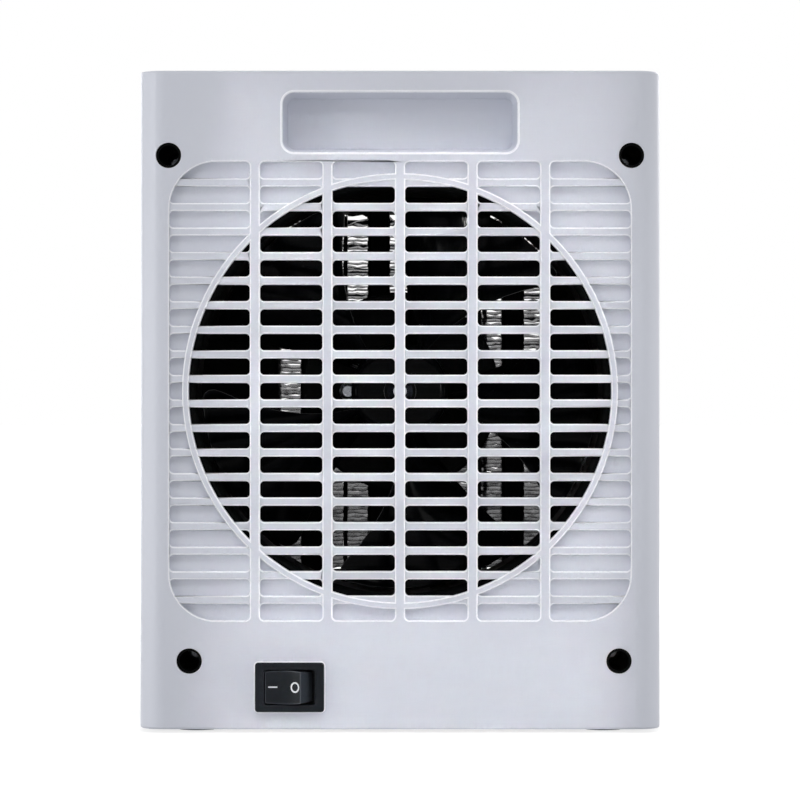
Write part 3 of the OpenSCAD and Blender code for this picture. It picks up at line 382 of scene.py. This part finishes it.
class HEATER_OT_finishes(bpy.types.Operator):
    """Makes every material of the heater"""

    bl_idname = "heater.finishes"
    bl_label = "Finishes"

    def execute(self, context):
        colours = context.scene.heater_colours
        # ABS from a spark-eroded mould: satin, cool light grey, with a grain that just breaks up the highlights.
        # The real grain is about 0.1 mm and is drawn at 0.45 mm, the finest that shows.
        moulded_plastic(
            "abs_light_grey", tuple(colours.case), roughness=0.42, grain=0.45 * MM, relief=0.006 * MM, mottle=0.03
        )
        # Rounded edges of the same mouldings: a near-white, slightly glossier copy of the grey, a painted highlight
        # that draws every edge as a bright line
        moulded_plastic(
            "abs_light_grey_painted_highlight", linear("#f3f4f9"), roughness=0.3, grain=0.45 * MM, relief=0.004 * MM, mottle=0.03
        )
        # The same ABS in dark grey, for the slats that get warm
        moulded_plastic("abs_dark_grey", tuple(colours.outlet), roughness=0.5, grain=0.45 * MM, relief=0.006 * MM)
        # Nylon of the switch: near-black and satin, a little greyer towards the light
        moulded_plastic(
            "nylon_black_satin",
            tuple(colours.switch),
            roughness=0.32,
            grain=0.4 * MM,
            relief=0.002 * MM,
            mottle=0.1,
            Specular_IOR_Level=0.11,
        )
        # Edges and end wall of its rocker: a lighter, glossier copy of the black nylon; the gloss is real, the lighter
        # colour is a painted highlight
        moulded_plastic(
            "nylon_black_painted_highlight",
            linear("#3a3f46"),
            roughness=0.2,
            grain=0.4 * MM,
            relief=0.002 * MM,
            mottle=0.1,
            Specular_IOR_Level=0.4,
        )
        # Fan moulded in polished ABS: deep black, with sharp streaks of light along the blades
        moulded_plastic(
            "abs_black_polished",
            tuple(colours.fan),
            roughness=0.12,
            grain=6 * MM,
            relief=0.01 * MM,
            mottle=0.2,
            Specular_IOR_Level=0.03,
        )
        # Trimmed edges of its blades, bright where the flash was cut away
        moulded_plastic(
            "abs_black_edge",
            tuple(colours.fan),
            roughness=0.1,
            grain=3 * MM,
            relief=0.02 * MM,
            mottle=0.2,
            Specular_IOR_Level=0.6,
        )
        # Glass-filled PBT of the inner frame: black and dull
        moulded_plastic(
            "pbt_black",
            tuple(colours.inner),
            roughness=0.6,
            grain=0.5 * MM,
            relief=0.01 * MM,
            mottle=0.3,
            Specular_IOR_Level=0.04,
        )
        # Filled PPS of the holders: black-brown, dry, a little speckled by its filler
        moulded_plastic(
            "pps_black_filled",
            linear("#0c0b0b"),
            roughness=0.68,
            grain=0.8 * MM,
            relief=0.02 * MM,
            mottle=0.35,
            Specular_IOR_Level=0.15,
        )
        # Phenolic of the bimetal switch: brown, with the shine of the mould
        moulded_plastic(
            "phenolic_brown", linear("#2c1c14"), roughness=0.3, grain=0.6 * MM, relief=0.006 * MM, mottle=0.25
        )
        # Natural nylon: milky white and slightly yellow
        moulded_plastic(
            "nylon_natural", linear("#e3dfd2"), roughness=0.45, grain=0.5 * MM, relief=0.006 * MM, mottle=0.06
        )
        # Nitrile rubber of the feet: dull black with a dusty bloom
        moulded_plastic(
            "rubber_black", tuple(colours.rubber), roughness=0.75, grain=0.7 * MM, relief=0.03 * MM, mottle=0.3
        )
        # Soft PVC of the cord bush: black, smoother than the rubber
        moulded_plastic("pvc_black", linear("#18191b"), roughness=0.5, grain=0.6 * MM, relief=0.01 * MM, mottle=0.2)
        # Heat-proof silicone sealant between the heating units: black and soft, with a slight gloss
        moulded_plastic(
            "silicone_black",
            linear("#0a0a0b"),
            roughness=0.55,
            grain=0.9 * MM,
            relief=0.03 * MM,
            mottle=0.3,
            Specular_IOR_Level=0.1,
        )
        # Pad-printed ink: bright white, slightly uneven at its grain
        moulded_plastic(
            "ink_white", tuple(colours.mark), roughness=0.5, grain=0.25 * MM, relief=0.004 * MM, mottle=0.12
        )
        # Barium titanate heating stones: matt grey-brown fired ceramic
        moulded_plastic(
            "ceramic_fired", linear("#57504a"), roughness=0.8, grain=0.3 * MM, relief=0.02 * MM, mottle=0.25
        )
        # Rolled aluminium of the fins: shiny along the rolling lines, with a film of dust that dulls it at a low angle
        worked_metal(
            "aluminium_rolled",
            linear("#707377"),
            roughness=0.22,
            streak=1.2 * MM,
            depth=0.6,
            along="X",
            relief=0.1 * MM,
            Specular_Tint=(0.3, 0.3, 0.31, 1),
        )
        # Sheared edges of the same sheet: dull and painted dark, a painted shade for the unlit edges seen from behind
        worked_metal("aluminium_edge_painted_shade", linear("#161617"), roughness=0.6, streak=0.4 * MM, depth=0.5, along="X")
        # Heating tubes and fin strips: aluminium painted near-black, a painted shade for their unlit rear faces
        worked_metal("aluminium_painted_shade_black", linear("#0d0d0e"), roughness=0.5, streak=0.4 * MM, depth=0.3)
        # Blackened spring steel of the clip on the shaft: nearly black, only its rim glints
        worked_metal("steel_blackened", linear("#101114"), roughness=0.3, streak=0.3 * MM, depth=0.3, along="Y")
        # Zinc-plated steel of screws, nuts and straps: bluish, finely drawn
        worked_metal("steel_zinc_plated", linear("#b4b9c1"), roughness=0.3, streak=0.3 * MM, depth=0.18, along="Y")
        # Ground steel of the shaft: rings of fine scratches read as a bright, soft line
        worked_metal("steel_ground", linear("#c2c4c8"), roughness=0.18, streak=0.15 * MM, depth=0.12, along="X")
        # Die-cast aluminium of the rotor ends, grey and grainy
        worked_metal(
            "aluminium_cast", linear("#9a9ca0"), roughness=0.42, streak=0.6 * MM, depth=0.3, along="Y", relief=0.02 * MM
        )
        # Sintered bronze of the bushes: brown-gold, porous
        worked_metal(
            "bronze_sintered",
            linear("#9c7b45"),
            roughness=0.45,
            streak=0.25 * MM,
            depth=0.3,
            along="Y",
            relief=0.02 * MM,
        )
        # Tinned brass of contact plates and tabs: pale warm silver
        worked_metal("brass_tinned", linear("#cdc7ae"), roughness=0.32, streak=0.3 * MM, depth=0.15)
        # Tinned case and wire ends of the thermal fuse
        worked_metal("steel_tinned", linear("#c4c1b8"), roughness=0.3, streak=0.3 * MM, depth=0.2)
        # Bare copper of the shading loops
        worked_metal("copper_bare", linear("#b8704a"), roughness=0.3, streak=0.3 * MM, depth=0.2, along="Y")
        # Enamelled copper wire of 0.35 mm, wound turn beside turn: shiny red-brown with dark gaps
        layered_metal(
            "copper_enamelled",
            linear("#a85a2c"),
            linear("#3a1a0c"),
            pitch=0.35 * MM,
            along="X",
            roughness=0.28,
            relief=0.06 * MM,
        )
        # Stack of 0.5 mm silicon steel sheets: blue-grey with dark lines between the sheets
        layered_metal(
            "steel_sheets",
            linear("#74787f"),
            linear("#26282b"),
            pitch=0.5 * MM,
            along="Y",
            roughness=0.45,
            relief=0.03 * MM,
        )
        return {"FINISHED"}


# Finish of each node that keeps its CAD shape
FINISH_OF_NODE = {
    "rubber_feet": "rubber_black",
    "case_screws": "steel_zinc_plated",
    "fan_duct": "pbt_black",
    "duct_screws": "steel_zinc_plated",
    "impeller_clip": "steel_blackened",
    "motor_stator": "steel_sheets",
    "shading_rings": "copper_bare",
    "motor_bobbin": "nylon_natural",
    "motor_coil": "copper_enamelled",
    "motor_rotor": "aluminium_cast",
    "motor_shaft": "steel_ground",
    "motor_rear_bracket": "steel_zinc_plated",
    "motor_front_bracket": "steel_zinc_plated",
    "motor_bushes": "bronze_sintered",
    "motor_screws": "steel_zinc_plated",
    "motor_nuts": "steel_zinc_plated",
    # painted shade: the tubes and the fin strips below are painted near-black
    "heater_tubes": "aluminium_painted_shade_black",
    "ceramic_stones": "ceramic_fired",
    "heater_electrodes": "brass_tinned",
    "fin_strips": "aluminium_painted_shade_black",
    "heater_top_holder": "pps_black_filled",
    "heater_bottom_holder": "pps_black_filled",
    "holder_screws": "steel_zinc_plated",
    "heater_baffle": "pps_black_filled",
    "baffle_screws": "steel_zinc_plated",
    "thermal_cutout": "phenolic_brown",
    "cutout_screws": "steel_zinc_plated",
    "thermal_fuse": "steel_tinned",
    "fuse_clip": "steel_zinc_plated",
    "switch_terminals": "brass_tinned",
    "terminal_block": "nylon_natural",
    "block_screws": "steel_zinc_plated",
    "cord_bush": "pvc_black",
    "cord_clamp": "nylon_natural",
    "clamp_screws": "steel_zinc_plated",
}


class HEATER_OT_inner_parts(bpy.types.Operator):
    """Gives the parts that keep their CAD shape their finishes"""

    bl_idname = "heater.inner_parts"
    bl_label = "Inner parts"

    def execute(self, context):
        for node, finish in FINISH_OF_NODE.items():
            paint(frame["nodes"][node], finish)
        return {"FINISHED"}


class HEATER_OT_case(bpy.types.Operator):
    """Rounds the edges of both housings, the intake grille and the outlet grille"""

    bl_idname = "heater.case"
    bl_label = "Case"

    def execute(self, context):
        sizes = context.scene.heater_sizes
        # the second finish is a painted highlight on every rounded edge
        grey = ("abs_light_grey", "abs_light_grey_painted_highlight")
        # middles of the screw wells and of the finger grip, and how far their edges reach, in millimetres
        wells = ((-70.5, 175.9), (70.5, 175.9), (-64.2, 21.9), (66.7, 21.9))
        well_reach = 7.5
        grip_z, grip_reach_x, grip_reach_z = 186, 38, 12

        def share(middle):
            x, z = middle.x / MM, middle.z / MM
            if abs(x) < grip_reach_x and abs(z - grip_z) < grip_reach_z:
                return 1.0
            if any(math.hypot(x - a, z - b) < well_reach for a, b in wells):
                return sizes.well_edge / sizes.grip_edge
            return sizes.grille_edge / sizes.grip_edge

        softened("rear_housing", "rear_housing_moulding", sizes.grip_edge, grey, share=share)
        softened("front_housing", "front_housing_moulding", sizes.case_edge, grey)
        softened("outlet_grille", "outlet_grille_moulding", sizes.slat_edge, ("abs_dark_grey",))
        return {"FINISHED"}


class HEATER_OT_fan(bpy.types.Operator):
    """Smooths the fan and rounds the edges of its blades"""

    bl_idname = "heater.fan"
    bl_label = "Fan"

    def execute(self, context):
        sizes = context.scene.heater_sizes
        polished = ("abs_black_polished", "abs_black_edge")
        softened("fan_impeller", "fan_moulding", sizes.blade_edge, polished, least_angle=50)
        return {"FINISHED"}


class HEATER_OT_power_switch(bpy.types.Operator):
    """Rounds the power switch and prints the marks on its rocker"""

    bl_idname = "heater.power_switch"
    bl_label = "Power switch"

    def surround(self, lip):
        """The thin raised lip of the case round the frame of the switch, in the lighter edge grey: a painted highlight
        line.
        """
        low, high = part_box("switch_housing")
        # it starts a little inside the case, and reaches a little under the frame
        sunk, tucked, thickness, corner = 0.02 * MM, 0.3 * MM, 0.3 * MM, 1.6 * MM
        piece = new_object(
            bpy.ops.mesh.primitive_plane_add,
            "switch_surround",
            size=1,
            location=((low.x + high.x) / 2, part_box("rear_housing")[0].y + sunk, (low.z + high.z) / 2),
            rotation=UPRIGHT,
        )
        piece.scale = (high.x - low.x + 2 * lip, high.z - low.z + 2 * lip, 1)
        bpy.ops.object.transform_apply(location=True, rotation=True, scale=True)
        edit_all()
        bpy.ops.mesh.bevel(offset=corner, segments=6, affect="VERTICES")
        bpy.ops.mesh.inset(thickness=lip + tucked, depth=0)
        bpy.ops.mesh.delete(type="FACE")
        bpy.ops.object.mode_set(mode="OBJECT")
        apply_modifier(piece, "SOLIDIFY", thickness=thickness, offset=1)
        apply_modifier(piece, "BEVEL", width=0.12 * MM, segments=2, limit_method="ANGLE")
        select_only(piece)
        bpy.ops.object.shade_smooth_by_angle(angle=math.radians(50))
        # the lighter edge grey is a painted highlight round the switch
        paint(piece, "abs_light_grey_painted_highlight")
        place_piece(piece, "rear_housing", replace=False)

    def bar(self, place, stroke):
        """The flat bar of the mark for on."""
        piece = new_object(
            bpy.ops.mesh.primitive_grid_add,
            "rocker_mark_on",
            x_subdivisions=12,
            y_subdivisions=2,
            size=1,
            location=place,
            rotation=UPRIGHT,
        )
        piece.scale = (2.8 * MM, 0.8 * stroke, 1)
        return piece

    def ring(self, place):
        """The flat ring of the mark for off, from its outline inwards in three steps of a tenth."""
        piece = new_object(
            bpy.ops.mesh.primitive_circle_add,
            "rocker_mark_off",
            vertices=48,
            radius=1,
            fill_type="NOTHING",
            location=place,
            rotation=UPRIGHT,
        )
        piece.scale = (1.32 * MM, 1.64 * MM, 1)
        bpy.ops.object.transform_apply(location=False, rotation=False, scale=True)
        edit_all()
        for share in (0.9, 0.8, 0.7):
            bpy.ops.mesh.extrude_region_move()
            inner = share / (share + 0.1)
            bpy.ops.transform.resize(value=(inner, 1, inner), orient_type="GLOBAL", center_override=place)
        bpy.ops.object.mode_set(mode="OBJECT")
        return piece

    def printed(self, mark, rocker):
        """Lays a flat mark on the rocker as a film of ink."""
        film, lifted = 0.05 * MM, 0.03 * MM
        select_only(mark)
        bpy.ops.object.transform_apply(location=True, rotation=True, scale=True)
        apply_modifier(
            mark,
            "SHRINKWRAP",
            target=rocker,
            wrap_method="PROJECT",
            use_project_x=False,
            use_project_y=True,
            use_project_z=False,
            use_positive_direction=True,
            use_negative_direction=True,
        )
        edit_all()
        bpy.ops.transform.translate(value=(0, -lifted, 0))
        bpy.ops.mesh.normals_make_consistent(inside=False)
        bpy.ops.object.mode_set(mode="OBJECT")
        apply_modifier(mark, "SOLIDIFY", thickness=film, offset=0)
        paint(mark, "ink_white")
        place_piece(mark, "switch_rocker", replace=False)

    def execute(self, context):
        sizes = context.scene.heater_sizes
        # the second finish is a painted highlight on the rocker's edges and end wall
        black = ("nylon_black_satin", "nylon_black_painted_highlight")
        softened("switch_housing", "switch_frame", sizes.switch_edge, black[:1], segments=3)
        rocker = softened("switch_rocker", "switch_rocker_cap", sizes.switch_edge, black, segments=3)
        # its end wall gets the same lighter colour, a painted highlight
        for face in rocker.data.polygons:
            if face.normal.x > 0.8:
                face.material_index = 1
        self.surround(sizes.lip_width)
        # both marks are made in front of the rocker, at the height of its middle
        low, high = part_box("switch_rocker")
        front = low.y - 5 * MM
        z = (low.z + high.z) / 2 + 0.1 * MM
        marks = self.bar((-38.7 * MM, front, z), sizes.mark_stroke), self.ring((-31.9 * MM, front, z))
        for mark in marks:
            self.printed(mark, rocker)
        return {"FINISHED"}


class HEATER_OT_fins(bpy.types.Operator):
    """Folds the aluminium fins between the heating tubes"""

    bl_idname = "heater.fins"
    bl_label = "Fins"

    def ribbon(self, name, left, right, low, high, thickness, seed):
        """One sheet folded to and fro between left and right, from low to high."""
        wobble = random.Random(seed)
        fold_height, end_room = 2.5 * MM, 3.2 * MM
        # how much a leg sways up and down, and the cut end, in millimetres
        leg_sway, end_sway = (-0.24, 0.24), (-0.5, 1.1)
        height = high.z - low.z - end_room
        folds = round(height / fold_height)
        step = height / folds / 2
        leg = right - left - thickness
        quarter = leg / 4
        piece = new_object(
            bpy.ops.mesh.primitive_plane_add,
            name,
            size=1,
            location=(left + thickness / 2 + quarter / 2, (low.y + high.y) / 2, low.z + step / 2),
        )
        piece.scale = (quarter, high.y - low.y, 1)
        bpy.ops.object.transform_apply(location=False, rotation=False, scale=True)
        bpy.ops.object.mode_set(mode="EDIT")
        bpy.ops.mesh.select_mode(type="EDGE")
        bpy.ops.mesh.select_all(action="DESELECT")
        bpy.ops.object.mode_set(mode="OBJECT")
        for edge in piece.data.edges:
            edge.select = min(piece.data.vertices[i].co.x for i in edge.vertices) > 0
        bpy.ops.object.mode_set(mode="EDIT")

        def push(x, z):
            bpy.ops.mesh.extrude_region_move(TRANSFORM_OT_translate={"value": (x, 0, z)})

        # each leg has four parts, and the plane is the first of them
        way = 1
        for fold in range(2 * folds):
            rise = 0.0
            for _ in range(3 if fold == 0 else 4):
                sway = wobble.uniform(*leg_sway) * MM
                push(way * quarter, sway - rise)
                rise = sway
            if fold < 2 * folds - 1:
                push(0, step - rise)
            way = -way
        # the cut end stands up loosely under the holder
        for turn in [way] * 4 + [0] + [-way] * 4:
            push(turn * quarter, wobble.uniform(*end_sway) * MM)
        # the far edge of the sheet runs its own wavy way, a little higher, so that little shows between the folds
        bpy.ops.mesh.select_mode(type="VERT")
        bpy.ops.mesh.select_all(action="DESELECT")
        for vertex in bmesh.from_edit_mesh(piece.data).verts:
            vertex.select = vertex.co.y > 0
        bpy.ops.transform.vertex_random(offset=0.5 * MM, seed=seed)
        bpy.ops.transform.translate(value=(0, 0, 1.05 * MM))
        bpy.ops.object.mode_set(mode="OBJECT")
        select_only(piece)
        bpy.ops.object.transform_apply(location=True, rotation=True, scale=True)
        apply_modifier(piece, "SOLIDIFY", thickness=thickness, offset=0)
        select_only(piece)
        edit_all()
        bpy.ops.mesh.normals_make_consistent(inside=False)
        bpy.ops.object.mode_set(mode="OBJECT")
        bpy.ops.object.shade_smooth_by_angle(angle=math.radians(50))
        paint(piece, "aluminium_rolled", "aluminium_edge_painted_shade")
        # the faces across the thickness of the sheet are its sheared edges, painted dark as painted shade
        for face in piece.data.polygons:
            face.material_index = 1 if abs(face.normal.y) > 0.5 else 0
        return piece

    def bead(self, name, middle, size, seed):
        """A slightly uneven bead of sealant."""
        piece = new_object(bpy.ops.mesh.primitive_cube_add, name, size=1, location=middle)
        piece.scale = size
        bpy.ops.object.transform_apply(location=True, rotation=True, scale=True)
        bpy.ops.object.mode_set(mode="EDIT")
        bpy.ops.mesh.subdivide(number_cuts=12)
        bpy.ops.transform.vertex_random(offset=0.15 * MM, seed=seed)
        bpy.ops.object.mode_set(mode="OBJECT")
        apply_modifier(piece, "SMOOTH", factor=0.5, iterations=2)
        paint(piece, "silicone_black")
        place_piece(piece, "fin_strips", replace=False)

    def execute(self, context):
        fin_sheet = context.scene.heater_sizes.fin_sheet
        low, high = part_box("heater_fins")
        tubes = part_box("heater_tubes")
        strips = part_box("fin_strips")
        tube_n, tube_w = 4, 6.5 * MM
        strip = (strips[1].x - strips[0].x - (high.x - low.x)) / 2
        pitch = (tubes[1].x - tubes[0].x - tube_w) / (tube_n - 1)
        first = tubes[0].x + tube_w / 2
        width = tubes[0].x - strip - strips[0].x - strip
        pieces = []
        for i in range(tube_n):
            for side in (-1, 1):
                middle = first + i * pitch + side * (tube_w / 2 + strip + width / 2)
                ends = middle - width / 2, middle + width / 2
                name = f"fin_ribbon_{len(pieces) + 1}"
                pieces.append(self.ribbon(name, *ends, low, high, fin_sheet, len(pieces)))
        for piece in pieces:
            place_piece(piece, "heater_fins")
        # beads between the strips of neighbouring units, a little smaller than the space for them
        size = (
            pitch - tube_w - 2 * width - 4 * strip - 0.04 * MM,
            high.y - low.y - 2 * MM,
            high.z - low.z - 1 * MM,
        )
        for i in range(tube_n - 1):
            middle = (first + (i + 0.5) * pitch, (low.y + high.y) / 2, (low.z + high.z) / 2)
            self.bead(f"sealant_bead_{i + 1}", middle, size, i)
        return {"FINISHED"}


class HEATER_OT_stage(bpy.types.Operator):
    """Sets up the camera, the lights and the floor"""

    bl_idname = "heater.stage"
    bl_label = "Stage"

    def lamp(self, name, place, size, watts, spread=180, aim=(0, cad_box[0].y, 0.095)):
        """A soft box that faces the middle of the heater's back, or what it is aimed at; spread is in degrees."""
        box = new_object(bpy.ops.object.light_add, name, type="AREA", location=place)
        box.data.shape = "RECTANGLE"
        box.data.size, box.data.size_y = size
        box.data.energy = watts
        box.data.spread = math.radians(spread)
        box.visible_camera = False
        box.rotation_mode = "QUATERNION"
        box.rotation_quaternion = (Vector(aim) - Vector(place)).to_track_quat("-Z", "Y")
        return box

    def camera(self, back, distance):
        """The camera at the photograph's height, straight behind the heater."""
        height, sensor_width, photo_width_at_back = 101.41 * MM, 36, 243.54 * MM
        camera = new_object(
            bpy.ops.object.camera_add, "camera", location=(0, back - distance, height), rotation=UPRIGHT
        )
        camera.data.sensor_width = sensor_width
        camera.data.lens = sensor_width * distance / photo_width_at_back
        camera.data.clip_start, camera.data.clip_end = 0.05, 50
        return camera

    def floor(self):
        """Pale paper, white to the camera except for the heater's soft shadow."""
        floor = new_object(bpy.ops.mesh.primitive_plane_add, "studio_floor", size=30, location=(0, 0, 0))
        material, place = new_material("paper_white")
        shown = seen_directly(material)
        fibre = add_node(material, "ShaderNodeTexNoise", {"Vector": place, "Scale": 1 / (3 * MM), "Detail": 4.0})
        paper = add_node(
            material, "ShaderNodeValToRGB", {"Fac": fibre.outputs["Fac"]}, stops=shades(linear("#e4e4e4"), 0.03)
        )
        lit = add_node(material, "ShaderNodeBsdfDiffuse", {"Color": paper.outputs["Color"]})
        # the camera sees a glow that is weaker near the heater, and a dim paper in it that takes the shadow
        reach = add_node(material, "ShaderNodeVectorMath", {0: place}, operation="LENGTH")
        glow = add_node(
            material,
            "ShaderNodeMapRange",
            {"Value": reach.outputs["Value"], "From Min": 0.25, "From Max": 0.9, "To Min": 0.78, "To Max": 1.0},
        )
        dim = add_node(material, "ShaderNodeBsdfDiffuse", {"Color": (0.36, 0.36, 0.36, 1)})
        white = add_node(material, "ShaderNodeEmission", {"Strength": glow.outputs["Result"]})
        seen = add_node(material, "ShaderNodeAddShader", {0: dim.outputs[0], 1: white.outputs[0]})
        both = add_node(material, "ShaderNodeMixShader", {0: shown, 1: lit.outputs[0], 2: seen.outputs[0]})
        # from below the floor isn't there, so that the underside can be looked at
        side = add_node(material, "ShaderNodeNewGeometry")
        clear = add_node(material, "ShaderNodeBsdfTransparent")
        both = add_node(
            material,
            "ShaderNodeMixShader",
            {0: side.outputs["Backfacing"], 1: both.outputs[0], 2: clear.outputs[0]},
        )
        add_node(material, "ShaderNodeOutputMaterial", {"Surface": both.outputs[0]})
        floor.data.materials.append(material)

    def world(self):
        """White where the camera or a reflection looks at it, a soft fill otherwise."""
        world = bpy.data.worlds.new("studio")
        world.use_nodes = True
        world.node_tree.nodes.clear()
        level = add_node(
            world, "ShaderNodeMapRange", {"Value": seen_directly(world), "To Min": 0.295, "To Max": 1.0}
        )
        sky = add_node(world, "ShaderNodeBackground", {"Color": (1, 1, 1, 1), "Strength": level.outputs["Result"]})
        add_node(world, "ShaderNodeOutputWorld", {"Surface": sky.outputs[0]})
        return world

    def lamps(self, back):
        """Lamps as in a studio, with a narrow spread where they must not light the sides."""
        # beams from both sides and from above the camera, which leave the sides of the back a little darker
        narrow = 0.8
        self.lamp("beam_left", (-0.6505, back - 0.84, 0.514), (0.095, 0.191), 0.0096, narrow, (0.006, back, 0.083))
        self.lamp("beam_right", (0.6585, back - 0.84, 0.514), (0.103, 0.191), 0.0103, narrow, (0.002, back, 0.083))
        self.lamp("beam_top", (0.0075, back - 0.995, 0.655), (0.115, 0.207), 0.0087, narrow, (0.0075, back, 0.08))
        # a weaker and softer one at the middle of the back
        self.lamp("beam_middle", (0.46, back - 1.05, 0.16), (0.117, 0.11), 0.005, 8, (0, back, 0.115))
        # a big soft box high up, which reflections leave out so that no face turns white
        self.lamp("high_above", (0, -1.31, 2.26), (1.3, 0.8), 24).visible_glossy = False
        # strips at the sides, a narrow one of them for the bowed rocker
        self.lamp("strip_left", (-0.85, -0.15, 0.08), (0.9, 0.25), 1.9)
        self.lamp("strip_right", (0.85, -0.15, 0.08), (0.9, 0.25), 1.5)
        self.lamp("strip_for_rocker", (-0.85, -0.55, 0.1), (0.06, 0.7), 2.2)
        # two boxes for the heater's front
        self.lamp("far_side", (0.7, 0.9, 0.55), (0.6, 0.6), 6.0)
        self.lamp("far_side_low", (-0.6, 1.0, 0.2), (0.5, 0.5), 3.0)

    def execute(self, context):
        scene = context.scene
        # the case's back; the CAD box begins at the rocker, which stands out of it
        back = cad_box[0].y + 4.27 * MM
        scene.camera = self.camera(back, scene.heater_sizes.camera_distance)
        scene.view_settings.view_transform = "Standard"
        self.floor()
        scene.world = self.world()
        self.lamps(back)
        return {"FINISHED"}


class HEATER_PT_panel(bpy.types.Panel):
    """Lists the steps that build the heater's looks"""

    bl_idname = "HEATER_PT_panel"
    bl_label = "Fan heater"
    bl_space_type = "VIEW_3D"
    bl_region_type = "UI"
    bl_category = "Heater"

    def draw(self, context):
        scene = context.scene
        for group in (scene.heater_sizes, scene.heater_colours):
            for name in group.__annotations__:
                self.layout.prop(group, name)
        for step in STEPS:
            self.layout.operator(step.bl_idname)


STEPS = (
    HEATER_OT_finishes,
    HEATER_OT_stage,
    HEATER_OT_case,
    HEATER_OT_fan,
    HEATER_OT_power_switch,
    HEATER_OT_fins,
    HEATER_OT_inner_parts,
)
CLASSES = (HeaterSizes, HeaterColours, *STEPS, HEATER_PT_panel)


def register():
    """Adds the classes, and the values to every scene."""
    for cls in CLASSES:
        bpy.utils.register_class(cls)
    bpy.types.Scene.heater_sizes = bpy.props.PointerProperty(type=HeaterSizes)
    bpy.types.Scene.heater_colours = bpy.props.PointerProperty(type=HeaterColours)


def unregister():
    """Takes them away again."""
    del bpy.types.Scene.heater_colours
    del bpy.types.Scene.heater_sizes
    for cls in reversed(CLASSES):
        bpy.utils.unregister_class(cls)


def main():
    register()
    bpy.ops.heater.finishes()
    bpy.ops.heater.stage()
    bpy.ops.heater.case()
    bpy.ops.heater.fan()
    bpy.ops.heater.power_switch()
    bpy.ops.heater.fins()
    bpy.ops.heater.inner_parts()


if __name__ == "__main__":
    main()
